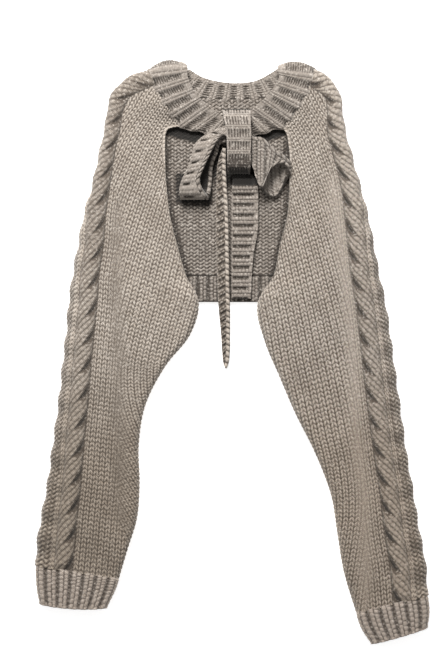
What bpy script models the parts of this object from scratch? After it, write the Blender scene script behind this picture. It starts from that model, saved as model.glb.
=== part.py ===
"""Knitted shrug with a tied neckband, laid flat.

The frame: +X across the garment, +Y towards the neck, +Z up. z = 0 is the surface
that it lies on, and the origin is the middle of the back panel, on that surface.
All sizes below are millimetres; the meshes are written in metres.

Each cloth wall is a fine outer surface, with its cables or ribs raised on it, over
a plain inner surface, closed along its four edges.
"""
import math

import bmesh
import bpy
import numpy as np

# Cloth
METRES = 0.001
WALL = 3.5               # thickness of the chunky knit
SEAM_GAP = 0.4           # between pieces that are sewn together
ARMHOLE_GAP = 0.5        # from the armhole seam to the back panel's sides
BAND_GAP = 1.5           # along a sleeve's end, where the band's edge leans over
LAID_HEIGHT = 17.0       # of a sleeve lying flat, both layers and the air between
HALF_HEIGHT = LAID_HEIGHT / 2
TURN = math.pi * HALF_HEIGHT / 2      # cloth in a quarter of the outer fold
UNDERARM_GAP = 0.15      # half the gap along the underarm seam
LIE_DROP = 8.3           # how far the front's free edge sinks onto the back panel
LIE_REACH = 46.0         # over how much cloth it sinks

# Knitted relief
CABLE_PITCH = 36.5       # between two crossings
CABLE_HALF = 12.0        # half the width of the rope
CABLE_HEIGHT = 4.2
CUFF_RIB = 13.5          # two knit and two purl columns
NECK_RIB = 16.5
RIB_HEIGHT = 1.2
ROWS_PER_CABLE = 3
POINTS_PER_RIB = 4
POINTS_PER_TIE_RIB = 3
SLEEVE_BACK_SPACING = 36.5            # between the plain inner surface's points
CUFF_ROWS = 5
CUFF_BACK_SHARES = [0.05, 0.1, 0.15, 0.4, 0.7, 0.87, 0.93, 1.0]
BACK_PANEL_SHAPE = (14, 13)           # its rows and columns
HEM_ROWS = 3
BAND_STEPS = 3                        # across the neckband, the loops and the left tail
NARROW_STEPS = 2                      # across the knot and the right tail

# The sleeves, from the cuff up to the neckband. Each row is one course of knitting:
# its outer end (the fold along the top of the arm), its inner end (the underarm, and
# above it the free front edge), the cloth from the outer fold to the middle of the
# cable, and how far the course bows towards the cuff.
SLEEVE_COLUMNS = ("outer_x", "outer_y", "inner_x", "inner_y", "cable", "bow")
LEFT_SLEEVE = [
    (-250, -456, -144, -473, 40, 0),
    (-248, -424, -133, -436, 41, 0),
    (-242, -389, -121, -397, 38, 0),
    (-234, -345, -117, -350, 35, 0),
    (-227, -293, -118, -298, 32, 0),
    (-220, -243, -109, -246, 30, 0),
    (-215, -194, -83, -196, 29, 0),
    (-210, -152, -51, -155, 28, 0),
    (-207, -114, -40, -114, 29, 0),
    (-202, -79, -55, -81, 26, 0),
    (-195, -40, -67, -40, 25, 0),
    (-187, 1, -77, 1, 20, 0),
    (-176, 40, -82, 46, 15, 0),
    (-165, 82, -83, 77, 10, 0),
    (-157, 120, -83, 96, 10, 0),
    (-153, 150, -82, 107, 13, 1),
    (-138, 173, -77, 113, 15, 3),
    (-120, 182, -66, 115, 15, 5),
    (-103, 190, -56, 113, 15, 7),
]
RIGHT_SLEEVE = [
    (257, -495, 166, -517, 38, 0),
    (254, -452, 150, -464, 38, 0),
    (246, -410, 142, -417, 37, 0),
    (238, -360, 133, -363, 35, 0),
    (229, -308, 112, -308, 34, 0),
    (222, -256, 86, -256, 34, 0),
    (215, -207, 65, -207, 33, 0),
    (209, -163, 47, -164, 32, 0),
    (202, -114, 38, -114, 31, 0),
    (194, -77, 58, -78, 29, 0),
    (187, -40, 66, -40, 26, 0),
    (179, 1, 76, 1, 22, 0),
    (168, 43, 79, 46, 17, 0),
    (157.5, 82, 79, 77, 16, 0),
    (147.5, 118, 77, 95, 14, 0),
    (143.5, 151, 75, 105, 13, 1),
    (135, 172, 73, 109, 14, 3),
    (124, 180.5, 71, 112, 15, 5),
    (111, 189.5, 69, 114, 15, 6),
]
UNDERARM_ROW = 8         # the last closed course; above it the front hangs free
UNDERARM_STEP = 0.6      # the sleeve's back layer narrows to the armhole in this much
OPENING_ROWS = 1.2       # rows over which the underarm fold opens out flat

# The hidden armhole seams, between each sleeve's back layer and the back panel
ARMHOLE_COLUMNS = ("y", "x")
LEFT_ARMHOLE = [(-114, -90), (0, -94), (70, -97), (125, -96), (165, -85)]
RIGHT_ARMHOLE = [(-114, 92), (0, 95), (70, 97.5), (125, 99), (165, 95)]

# Soft hollows along the sleeves' front layers: from one end to the other
FOLD_COLUMNS = ("across_start", "along_start", "across_end", "along_end", "depth", "half_width")
LEFT_FOLDS = [(80, 60, 62, 330, 2.2, 15), (62, 330, 38, 520, 1.6, 12)]
RIGHT_FOLDS = [(66, 40, 78, 300, 1.6, 16), (84, 320, 56, 500, 1.4, 14)]
FOLD_FADE = 0.3          # the share of a hollow's length over which each end fades

# The cuffs, from the open end up to the sleeve, in the sleeve's columns
LEFT_CUFF = [
    (-244, -506, -161, -511, 40, 3),
    (-248, -487, -151, -491, 40, 0),
    (-250, -456.6, -143.6, -473.6, 40, 0),
]
RIGHT_CUFF = [
    (256, -537, 187, -557, 38, 1),
    (259, -516, 173.5, -537, 38, 0),
    (257, -495.6, 165.8, -517.6, 38, 0),
]

# Back panel and hem
HEM_BOTTOM = -113.0
HEM_SEAM = -79.0
HEM_WALL = 3.2
BACK_NECK_MIDDLE = (4.5, 151.0)       # the lowest point of the seam under the band
BACK_NECK_RISE = 11.0                 # how much it rises by the armholes
BACK_NECK_REACH = 90.0
ARMHOLE_TOP = 163.0                   # where the armhole seams meet the neck seam

# The neckband, one ribbed strip from one side of the knot round the neck to the
# other. On the fronts its outer edge is sewn to the end of a sleeve, at a share of
# that end; the neck edge is where given. Its last rows run free to the knot.
FRONT_BAND_COLUMNS = ("share", "neck_x", "neck_y", "neck_z")
LEFT_FRONT_BAND = [
    (1.00, -21, 138, 9.0),
    (0.83, -31, 146, 10.5),
    (0.60, -43, 157, 12.3),
    (0.41, -50, 170, 14.2),
    (0.22, -54, 183, 15.2),
]
RIGHT_FRONT_BAND = [
    (1.00, 32.5, 140, 9.0),
    (0.83, 42, 148, 10.5),
    (0.60, 53, 159, 12.3),
    (0.41, 61, 170, 14.2),
    (0.22, 65, 182, 15.2),
]
STRIP_COLUMNS = ("edge_x", "edge_y", "edge_z", "other_x", "other_y", "other_z")
LEFT_BAND_END = [
    (8, 99.5, 6.5, 10, 119.5, 6.5),
    (-9, 101, 6.5, 3, 121, 6.5),
    (-27, 105, 6.8, -6.5, 126, 7.2),
    (-42, 110.5, 7.0, -13, 132, 8.2),
]
RIGHT_BAND_END = [
    (12.5, 100, 6.5, 14.5, 120, 6.5),
    (30, 103, 6.5, 19, 122, 6.5),
    (43, 107, 6.8, 23, 129, 7.0),
    (57, 111.5, 7.0, 27, 135, 7.8),
]
BACK_BAND_COLUMNS = ("seam_x", "neck_x", "neck_y")
BACK_BAND = [
    (-79, -45, 186.3),
    (-64, -38, 182),
    (-28.6, -18, 175.5),
    (8, 9, 172.5),
    (43, 34, 175.5),
    (74, 51, 183.5),
    (89, 57.5, 187.5),
]
LEFT_PEAK = (-57, 194)       # where the shoulder fold meets the neck edge
RIGHT_PEAK = (66, 193)
LEFT_BACK_CORNER = (-48, 188)         # the neck edge above each armhole seam
RIGHT_BACK_CORNER = (60, 189)
SHOULDER_CROWN = {"left": 10.0, "right": 7.5}     # how far the shoulder fold bows up
SHOULDER_ANGLES = (80, 40, 0, -40, -80)           # round that fold, front to back
# The band's ribs stand up from the side that shows: outside in front, inside at the back.
BACK_STARTS = 0.36                    # share of the band where its front ribs end
BACK_RIBS_START = 0.38                # and its back ribs start
RIB_FADE = 0.04

# The bow. A strip's rows give its two long edges, halfway through the wall.
KNOT = [
    (-9.5, 143, 6.7, 28, 143, 6.7),
    (-9, 137.5, 13.5, 28, 137.5, 13.5),
    (-8, 130, 20.5, 28, 130, 20.5),
    (-6, 121, 25, 28, 121, 25),
    (-4, 110, 26.3, 28.5, 110, 26.3),
    (-3, 95, 26.4, 28.5, 95, 26.4),
    (-2.5, 80, 26, 28, 80, 26),
    (-2.5, 68, 24, 28, 68, 24),
    (-2, 59, 19.5, 27.5, 59, 19.5),
    (-1.5, 56, 15.5, 27, 56, 15.5),
    (-1, 59, 12.5, 27, 59, 12.5),
]
LEFT_LOOP = [
    (1.3, 118, 12.6, 2.6, 95, 12.6),
    (-22, 105, 12.6, -12, 91, 12.6),
    (-40, 87, 10.5, -14, 82, 10.5),
    (-49, 65, 8.0, -20.5, 65, 8.0),
    (-58, 43, 7.0, -22, 45, 7.0),
    (-63, 30, 8.6, -23.5, 32, 8.6),
    (-63, 24, 14, -26, 24, 14),
    (-64.5, 30, 19.5, -33, 31, 19.5),
    (-63, 40, 21.5, -37.5, 43, 21.5),
    (-56, 56, 23, -32, 61, 23),
    (-49, 73, 24, -24, 78, 24),
    (-44, 90, 23.5, -16, 93, 23.5),
    (-31, 102, 20.8, -9, 100, 20.8),
    (-1.3, 117, 19, 1.3, 98, 19),
]
RIGHT_LOOP = [
    (18, 118, 12.6, 19.5, 94, 12.6),
    (33, 98, 11.8, 35, 59, 11.8),
    (44, 87, 8.8, 46, 30, 8.8),
    (57, 74, 7.1, 62, 25, 7.1),
    (69, 66, 8.6, 72, 41, 8.6),
    (76.5, 69, 15, 76, 55, 15),
    (70, 77, 21, 68, 66, 21),
    (57, 86, 23.6, 52, 56, 23.6),
    (45, 98, 24, 44, 35, 24),
    (33, 101, 20, 33.5, 56, 19),
    (15.6, 117, 19, 17, 96, 19),
]
RIGHT_TAIL = [
    (6, 53, 6.6, 30, 53, 6.6),
    (5, 47, 7.0, 34, 47, 7.0),
    (4.5, 41.5, 9.2, 36, 41.5, 9.2),
    (4, 36.5, 9.4, 37.5, 36.5, 9.4),
    (3.8, 28, 7.2, 38, 28, 7.2),
    (3.5, 13, 6.6, 38, 13, 6.6),
    (3.5, -20, 6.6, 37.5, -20, 6.6),
    (3.5, -48, 6.6, 32.5, -48, 6.6),
    (3.5, -75, 6.6, 30, -75, 6.6),
    (3.5, -109, 6.6, 28.5, -109, 6.6),
]
LEFT_TAIL = [                # twisted edge on, its two layers lying together
    (-8.5, 87, 8.9, -3.8, 87, 8.9),
    (-12, 77, 8.6, -3.8, 77, 8.6),
    (-15, 65, 8.3, -3.8, 65, 8.3),
    (-16.3, 45, 8.3, -3.2, 45, 8.3),
    (-17, 19, 8.3, -1.5, 19, 8.3),
    (-16.5, -45, 8.3, 0, -45, 8.3),
    (-14.5, -105, 8.3, 1, -105, 8.3),
    (-13.5, -122, 8.0, 1.5, -122, 8.0),
    (-12, -138, 4.9, 1.5, -138, 4.9),
    (-10.5, -155, 3.5, 1.5, -155, 3.5),
    (-9, -178, 3.5, 1.2, -178, 3.5),
    (-7, -194, 3.5, -0.8, -194, 3.5),
    (-4.8, -199.5, 3.5, -2.8, -199.5, 3.5),
]
LEFT_TAIL_WALL = 7.0
TIE_RIB = 13.5
TIE_RIB_HEIGHT = 1.0
LEFT_TAIL_SLANT = 9.0        # how far its ribs lean along the strip

# Colours, linear
TAUPE = (0.33, 0.28, 0.235, 1)
TAUPE_LIGHT = (0.38, 0.33, 0.28, 1)
TAUPE_DARK = (0.24, 0.2, 0.165, 1)
ROUGHNESS = 0.9


# Shapes shared by every piece

def ease(x):
    """0 below 0, 1 above 1, and a smooth step between."""
    x = np.clip(x, 0, 1)
    return x * x * (3 - 2 * x)


def knots_of(rows, columns):
    """Distance along a table's rows, measured on the given columns."""
    steps = np.linalg.norm(np.diff(rows[:, columns], axis=0), axis=1)
    return np.concatenate([[0], np.cumsum(steps)])


def read_rows(rows, knots, place):
    """Every column of a table at a distance along it, on one smooth curve."""
    slope = np.gradient(rows, knots, axis=0)
    k = np.clip(np.searchsorted(knots, place, side="right") - 1, 0, len(knots) - 2)
    span = (knots[k + 1] - knots[k])[..., None]
    t = (place - knots[k])[..., None] / span
    start, end = rows[k], rows[k + 1]
    leave, arrive = slope[k] * span, slope[k + 1] * span
    return ((2 * t**3 - 3 * t**2 + 1) * start + (t**3 - 2 * t**2 + t) * leave
            + (3 * t**2 - 2 * t**3) * end + (t**3 - t**2) * arrive)


def material_for(name, colour):
    material = bpy.data.materials.new(name)
    material.use_nodes = True
    shader = material.node_tree.nodes["Principled BSDF"]
    shader.inputs["Base Color"].default_value = colour
    shader.inputs["Roughness"].default_value = ROUGHNESS
    shader.inputs["Metallic"].default_value = 0
    return material


def grid_faces(rows, columns, first):
    """Four-sided faces over a grid of points numbered from first."""
    return [(first + i * columns + j, first + i * columns + j + 1,
             first + (i + 1) * columns + j + 1, first + (i + 1) * columns + j)
            for i in range(rows - 1) for j in range(columns - 1)]


def zip_edges(near, near_place, far, far_place):
    """Triangles between two lines of points, each advanced where it lags."""
    faces = []
    i = j = 0
    while i < len(near) - 1 or j < len(far) - 1:
        near_next = near_place[i + 1] if i < len(near) - 1 else math.inf
        far_next = far_place[j + 1] if j < len(far) - 1 else math.inf
        if near_next <= far_next:
            faces.append((near[i], near[i + 1], far[j]))
            i += 1
        else:
            faces.append((near[i], far[j + 1], far[j]))
            j += 1
    return faces


def cloth_wall(name, outer, inner, colour, group):
    """A closed wall between two surfaces, each a dict of points, along and across."""
    points = np.concatenate([outer["points"].reshape(-1, 3), inner["points"].reshape(-1, 3)])
    rows, columns = outer["points"].shape[:2]
    inner_rows, inner_columns = inner["points"].shape[:2]
    first = rows * columns
    number = np.arange(first).reshape(rows, columns)
    inner_number = first + np.arange(inner_rows * inner_columns).reshape(inner_rows, inner_columns)
    faces = grid_faces(rows, columns, 0) + grid_faces(inner_rows, inner_columns, first)
    for side in (0, -1):
        faces += zip_edges(number[:, side], outer["along"],
                           inner_number[:, side], inner["along"])
        faces += zip_edges(number[side], outer["across"],
                           inner_number[side], inner["across"])
    mesh = bpy.data.meshes.new(name)
    mesh.from_pydata((points * METRES).tolist(), [], [tuple(map(int, f)) for f in faces])
    shell = bmesh.new()
    shell.from_mesh(mesh)
    bmesh.ops.recalc_face_normals(shell, faces=shell.faces)
    shell.to_mesh(mesh)
    shell.free()
    mesh.shade_smooth()
    mesh.materials.append(material_for(name + "_knit", colour))
    piece = bpy.data.objects.new(name, mesh)
    group.objects.link(piece)
    return piece


# Sleeves and cuffs

class Sleeve:
    """One arm of the garment: where each course lies, and how its cloth turns."""

    def __init__(self, table, side, armhole, folds):
        self.rows = np.array(table, float)
        self.side = side                 # -1 on the left, 1 on the right
        self.knots = knots_of(self.rows, [0, 1])
        self.armhole = np.array(armhole, float)
        self.folds = folds
        self.underarm = self.knots[UNDERARM_ROW] if armhole else math.inf
        opened = UNDERARM_ROW + OPENING_ROWS
        self.opened = np.interp(opened, range(len(self.knots)), self.knots)

    def armhole_x(self, y):
        return read_rows(self.armhole[:, 1:2], self.armhole[:, 0], y)[..., 0]

    def course(self, along):
        """Named measures of the courses at distances along the outer fold."""
        row = read_rows(self.rows, self.knots, along)
        outer, inner = row[..., 0:2], row[..., 2:4]
        width = np.linalg.norm(inner - outer, axis=-1)
        back_width = width.copy()
        if len(self.armhole):
            share = np.full(width.shape, 0.7)
            for _ in range(8):           # settles on where the course meets the seam
                y = outer[..., 1] + share * (inner[..., 1] - outer[..., 1])
                share = ((self.armhole_x(y) - outer[..., 0])
                         / (inner[..., 0] - outer[..., 0]))
            back_width = np.where(along > self.underarm, share * width, width)
        return {"outer": outer, "direction": (inner - outer) / width[..., None],
                "width": width, "back_width": back_width,
                "cable": row[..., 4], "bow": row[..., 5]}

    def closed(self, along):
        """1 where the underarm is folded, 0 where the front layer lies free."""
        if not len(self.armhole):
            return np.ones_like(along)
        return 1 - ease((along - self.underarm) / (self.opened - self.underarm))

    def hollow(self, across, along):
        depth = np.zeros_like(across)
        for fold in self.folds:
            a0, s0, a1, s1, deep, half = fold
            t = (along - s0) / (s1 - s0)
            fade = ease(t / FOLD_FADE) * ease((1 - t) / FOLD_FADE)
            middle = a0 + (a1 - a0) * np.clip(t, 0, 1)
            depth = depth + deep * fade * np.exp(-((across - middle) / half) ** 2)
        return depth

    def surface(self, along, cloth, raise_by):
        """Points where the cloth, measured from the outer fold (front positive),
        crosses the courses, moved out from the wall by raise_by."""
        course = self.course(along)
        width, back_width = course["width"], course["back_width"]
        closed = self.closed(along)
        back_closed = (along <= self.underarm).astype(float)
        front = cloth >= 0
        reach = np.abs(cloth)
        span = np.where(front, width, back_width) - 2 * HALF_HEIGHT
        shut = np.where(front, closed, back_closed)
        turn = np.clip(cloth / HALF_HEIGHT, -math.pi / 2, math.pi / 2)
        curl = np.clip((reach - TURN - span) / HALF_HEIGHT, 0, math.pi / 2)
        across = (HALF_HEIGHT * (1 - np.cos(turn)) + np.clip(reach - TURN, 0, span)
                  + HALF_HEIGHT * np.sin(curl))
        lift = shut * (HALF_HEIGHT - UNDERARM_GAP) * (1 - np.cos(curl))
        top = HALF_HEIGHT * (1 + np.sin(turn))
        sink = (LIE_DROP * (1 - closed) * ease((across - width + LIE_REACH) / LIE_REACH)
                + self.hollow(across, along))
        height = np.where(front, top - lift - sink * top / LAID_HEIGHT, top + lift)
        out_across = np.where(curl > 0, shut * np.sin(curl), -np.cos(turn))
        upward = np.where(curl > 0, 1 - shut + shut * np.cos(curl), np.abs(np.sin(turn)))
        length = np.hypot(out_across, upward)
        out_across, upward = out_across / length, upward / length
        upward = np.where(front, upward, -upward)
        across = across + raise_by * out_across
        height = height + raise_by * upward
        share = across / width
        bow = course["bow"] * 4 * share * (1 - share) * (1 + np.sin(turn)) / 2
        direction = course["direction"]
        away = self.side * np.stack([-direction[..., 1], direction[..., 0]], axis=-1)
        flat = course["outer"] + direction * across[..., None] + away * bow[..., None]
        return np.concatenate([flat, np.maximum(height, 0)[..., None]], axis=-1)

    def cloth_at(self, along, stops):
        """Cloth measures for each course from a list of (from, to, steps) stretches."""
        course = self.course(along)
        marks = {
            "front_end": course["width"] - 2 * HALF_HEIGHT + 2 * TURN,
            "front_curl": course["width"] - 2 * HALF_HEIGHT + TURN,
            "cable_in": course["cable"] + CABLE_HALF,
            "cable_out": course["cable"] - CABLE_HALF,
            "front_turn": np.full(along.shape, TURN),
            "back_turn": np.full(along.shape, -TURN),
            "back_curl": -(course["back_width"] - 2 * HALF_HEIGHT + TURN),
            "back_end": -(course["back_width"] - 2 * HALF_HEIGHT + 2 * TURN),
        }
        columns = []
        for k, (start, end, steps) in enumerate(stops):
            count = steps + 1 if k == len(stops) - 1 else steps
            for share in np.arange(count) / steps:
                columns.append(marks[start] + (marks[end] - marks[start]) * share)
        return np.stack(columns, axis=1)

    def cable(self, along, cloth):
        """A two-strand rope: a crown with slanted grooves, one at each crossing."""
        course = self.course(along)
        c = (cloth - course["cable"]) / CABLE_HALF
        crown = np.sqrt(np.clip(1 - c * c, 0, 1))
        groove = np.abs(np.sin(math.pi * (along / CABLE_PITCH - 0.5 * c)))
        return CABLE_HEIGHT * crown * (0.5 + 0.5 * groove)


OUTER_STOPS = [("front_end", "front_curl", 3), ("front_curl", "cable_in", 4),
               ("cable_in", "cable_out", 7), ("cable_out", "back_turn", 4),
               ("back_turn", "back_curl", 2), ("back_curl", "back_end", 2)]
INNER_STOPS = [("front_end", "front_curl", 2), ("front_curl", "front_turn", 3),
               ("front_turn", "back_turn", 4), ("back_turn", "back_curl", 2),
               ("back_curl", "back_end", 2)]


def sleeve_rows(arm, below, above):
    """Distances along a sleeve, spaced as given below and above the underarm step."""
    under = np.linspace(0, arm.underarm, round(arm.underarm / below) + 1)
    start, end = arm.underarm + UNDERARM_STEP, arm.knots[-1]
    over = np.linspace(start, end, round((end - start) / above) + 1)
    return np.concatenate([under, over])


def add_sleeve(name, arm, group):
    spacing = CABLE_PITCH / ROWS_PER_CABLE
    fine = sleeve_rows(arm, spacing, spacing)
    coarse = sleeve_rows(arm, SLEEVE_BACK_SPACING, spacing)
    cloth = arm.cloth_at(fine, OUTER_STOPS)
    along = np.repeat(fine[:, None], cloth.shape[1], axis=1)
    relief = arm.cable(along, cloth)
    outer = {"points": arm.surface(along, cloth, relief), "along": fine,
             "across": -cloth[0] / cloth[0, 0]}
    inner_cloth = arm.cloth_at(coarse, INNER_STOPS)
    inner_along = np.repeat(coarse[:, None], inner_cloth.shape[1], axis=1)
    inner = {"points": arm.surface(inner_along, inner_cloth, -WALL), "along": coarse,
             "across": -inner_cloth[0] / inner_cloth[0, 0]}
    cloth_wall(name, outer, inner, TAUPE, group)


def add_cuff(name, table, side, group):
    """A ribbed tube, with its ribs along the arm on the layer that shows."""
    arm = Sleeve(table, side, [], [])
    rows = np.linspace(0, arm.knots[-1], CUFF_ROWS)
    course = arm.course(rows)
    ends = course["width"] - 2 * HALF_HEIGHT + 2 * TURN
    ribs = round(float(ends[0]) / CUFF_RIB)
    share = np.arange(ribs * POINTS_PER_RIB + 1) / (ribs * POINTS_PER_RIB)
    front = ends[:, None] * (1 - share)[None]
    back = -ends[:, None] * np.array(CUFF_BACK_SHARES)[None]
    cloth = np.concatenate([front, back], axis=1)
    along = np.repeat(rows[:, None], cloth.shape[1], axis=1)
    wave = 0.5 - 0.5 * np.cos(2 * math.pi * ribs * share)
    relief = np.concatenate([RIB_HEIGHT * wave, np.zeros(back.shape[1])])[None] + 0 * along
    outer = {"points": arm.surface(along, cloth, relief), "along": rows,
             "across": -cloth[0] / cloth[0, 0]}
    inner_cloth = arm.cloth_at(rows, INNER_STOPS)
    inner_along = np.repeat(rows[:, None], inner_cloth.shape[1], axis=1)
    inner = {"points": arm.surface(inner_along, inner_cloth, -WALL), "along": rows,
             "across": -inner_cloth[0] / inner_cloth[0, 0]}
    cloth_wall(name, outer, inner, TAUPE_DARK, group)


# Back panel and hem

def back_neck_y(x):
    """The seam between the back panel and the neckband."""
    return BACK_NECK_MIDDLE[1] + BACK_NECK_RISE * ((x - BACK_NECK_MIDDLE[0]) / BACK_NECK_REACH) ** 2


def add_flat_panel(name, left, right, bottom, top, wall, ribs, shape, colour, group):
    """A panel lying on the surface between the two armhole seams."""
    rows, columns = shape
    level = np.linspace(0, 1, rows)
    side_top = top(np.array(left.armhole_x(ARMHOLE_TOP))) if callable(top) else top
    y = bottom + level * (side_top - bottom)
    x0 = left.armhole_x(y) + ARMHOLE_GAP
    x1 = right.armhole_x(y) - ARMHOLE_GAP
    across = np.linspace(0, 1, columns)
    x = x0[:, None] + (x1 - x0)[:, None] * across[None]
    head = top(x) if callable(top) else top + 0 * x
    y = bottom + level[:, None] * (head - bottom)
    wave = 0.5 - 0.5 * np.cos(2 * math.pi * ribs * across)
    height = wall + RIB_HEIGHT * wave[None] * (ribs > 0) + 0 * x
    place = {"along": level, "across": across}
    upper = dict(place, points=np.stack([x, y, height], axis=-1))
    lower = dict(place, points=np.stack([x, y, 0 * x], axis=-1))
    cloth_wall(name, upper, lower, colour, group)


# Strips

def add_strip(name, table, wall, rib, raised, sunk, slant, across_steps, colour, group):
    """A ribbed strip. Its rows hold two edges and, where given, a crown between them.
    rib is its ribs' repeat and their points; raised and sunk are their heights on the
    strip's two faces, as functions of the share of its length."""
    rows = np.array(table, float)
    if rows.shape[1] == 6:
        rows = np.concatenate([rows, np.zeros((len(rows), 3))], axis=1)
    middle = (rows[:, 0:3] + rows[:, 3:6]) / 2
    knots = knots_of(middle, [0, 1, 2])
    pitch, points_per_rib = rib
    ribs = round(knots[-1] / pitch)
    along = np.linspace(0, knots[-1], ribs * points_per_rib + 1)
    row = read_rows(rows, knots, along)
    across = np.linspace(0, 1, across_steps + 1)
    c = across[None, :, None]
    points = (row[:, None, 0:3] * (1 - c) + row[:, None, 3:6] * c
              + row[:, None, 6:9] * 4 * c * (1 - c))
    lengthwise = np.gradient(points, axis=0)
    crosswise = np.gradient(points, axis=1)
    normal = np.cross(lengthwise, crosswise)
    normal /= np.linalg.norm(normal, axis=2, keepdims=True)
    phase = (along[:, None] + slant * (across[None] - 0.5)) / (knots[-1] / ribs)
    wave = 0.5 - 0.5 * np.cos(2 * math.pi * phase)
    share = along / knots[-1]
    lift = wall / 2 + wave * raised(share)[:, None]
    sink = wall / 2 + wave * sunk(share)[:, None]
    place = {"along": share, "across": across}
    faces = []
    for offset in (lift, -sink):
        side = points + normal * offset[..., None]
        side[..., 2] = np.maximum(side[..., 2], 0)
        faces.append(dict(place, points=side))
    cloth_wall(name, faces[0], faces[1], colour, group)


def band_end_rows(rows):
    return [tuple(row) + (0, 0, 0) for row in rows]


def shoulder_rows(arm, front_band, peak, corner, crown):
    """The neckband's rows from a front over the shoulder fold to its back corner."""
    top = arm.knots[-1:]
    course = arm.course(top)
    width = float(course["width"][0])
    direction = course["direction"][0]
    towards_neck = -arm.side * np.array([-direction[1], direction[0]])
    clear = np.append(towards_neck * BAND_GAP, 0)

    def sleeve_end(cloth):
        return arm.surface(top, np.array([cloth]), np.array([-WALL / 2]))[0] + clear

    rows = []
    for share, x, y, z in front_band:
        edge = sleeve_end(share * (width - 2 * HALF_HEIGHT + 2 * TURN))
        rows.append((*edge, x, y, z, 0, 0, 0))
    middle_radius = HALF_HEIGHT - WALL / 2
    for angle in SHOULDER_ANGLES:
        turn = math.radians(angle)
        edge = sleeve_end(HALF_HEIGHT * turn)
        inset = HALF_HEIGHT - middle_radius * math.cos(turn)
        neck = np.array(peak) + direction * inset
        height = HALF_HEIGHT + middle_radius * math.sin(turn)
        bow = crown * math.cos(turn) ** 2
        rows.append((*edge, *neck, height, 0, bow, 0))
    back_width = float(course["back_width"][0])
    edge = sleeve_end(-(back_width - 2 * HALF_HEIGHT + 2 * TURN))
    rows.append((*edge, *corner, WALL / 2, 0, 0, 0))
    return rows


def neckband_rows(left, right):
    left_rows = band_end_rows(LEFT_BAND_END) + shoulder_rows(
        left, LEFT_FRONT_BAND, LEFT_PEAK, LEFT_BACK_CORNER, SHOULDER_CROWN["left"])
    right_rows = band_end_rows(RIGHT_BAND_END) + shoulder_rows(
        right, RIGHT_FRONT_BAND, RIGHT_PEAK, RIGHT_BACK_CORNER, SHOULDER_CROWN["right"])
    back = [(x, back_neck_y(x) + SEAM_GAP, WALL / 2, nx, ny, WALL / 2, 0, 0, 0)
            for x, nx, ny in BACK_BAND]
    return left_rows + back + right_rows[::-1]


def main():
    for thing in list(bpy.data.objects):
        bpy.data.objects.remove(thing, do_unlink=True)
    group = bpy.data.collections.new("knitted_shrug")
    bpy.context.scene.collection.children.link(group)

    left = Sleeve(LEFT_SLEEVE, -1, LEFT_ARMHOLE, LEFT_FOLDS)
    right = Sleeve(RIGHT_SLEEVE, 1, RIGHT_ARMHOLE, RIGHT_FOLDS)
    add_sleeve("left_sleeve", left, group)
    add_sleeve("right_sleeve", right, group)
    add_cuff("left_cuff", LEFT_CUFF, -1, group)
    add_cuff("right_cuff", RIGHT_CUFF, 1, group)

    hem_ribs = round((RIGHT_ARMHOLE[0][1] - LEFT_ARMHOLE[0][1]) / CUFF_RIB)
    add_flat_panel("back_panel", left, right, HEM_SEAM + SEAM_GAP, back_neck_y,
                   WALL, 0, BACK_PANEL_SHAPE, TAUPE, group)
    add_flat_panel("back_hem", left, right, HEM_BOTTOM, HEM_SEAM,
                   HEM_WALL, hem_ribs, (HEM_ROWS, hem_ribs * POINTS_PER_RIB + 1), TAUPE_DARK,
                   group)

    def on_front(share):
        from_end = np.minimum(share, 1 - share)
        return RIB_HEIGHT * ease((BACK_STARTS - from_end) / RIB_FADE)

    def on_back(share):
        from_end = np.minimum(share, 1 - share)
        return RIB_HEIGHT * ease((from_end - BACK_RIBS_START) / RIB_FADE)

    def tie_ribs(share):
        return TIE_RIB_HEIGHT + 0 * share

    def plain(share):
        return 0 * share

    band_rib = (NECK_RIB, POINTS_PER_RIB)
    tie_rib = (TIE_RIB, POINTS_PER_TIE_RIB)
    add_strip("neckband", neckband_rows(left, right), WALL, band_rib, on_back, on_front,
              0, BAND_STEPS, TAUPE_LIGHT, group)
    add_strip("tie_knot", KNOT, WALL, tie_rib, tie_ribs, tie_ribs, 0, NARROW_STEPS,
              TAUPE_LIGHT, group)
    add_strip("left_loop", LEFT_LOOP, WALL, tie_rib, tie_ribs, tie_ribs, 0, BAND_STEPS,
              TAUPE_LIGHT, group)
    add_strip("right_loop", RIGHT_LOOP, WALL, tie_rib, tie_ribs, tie_ribs, 0, BAND_STEPS,
              TAUPE, group)
    add_strip("right_tail", RIGHT_TAIL, WALL, tie_rib, tie_ribs, plain, 0, NARROW_STEPS,
              TAUPE, group)
    add_strip("left_tail", LEFT_TAIL, LEFT_TAIL_WALL, tie_rib, tie_ribs, plain,
              LEFT_TAIL_SLANT, BAND_STEPS, TAUPE_LIGHT, group)


main()
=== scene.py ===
# Knitted shrug with a tied neckband, laid flat: its stitches, yarn, light and camera.
# Tables and sizes are millimetres, +X across the garment, +Y to the neck, +Z up from
# the surface that it lies on. mm turns them into metres as each mesh is made.
import math

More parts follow.
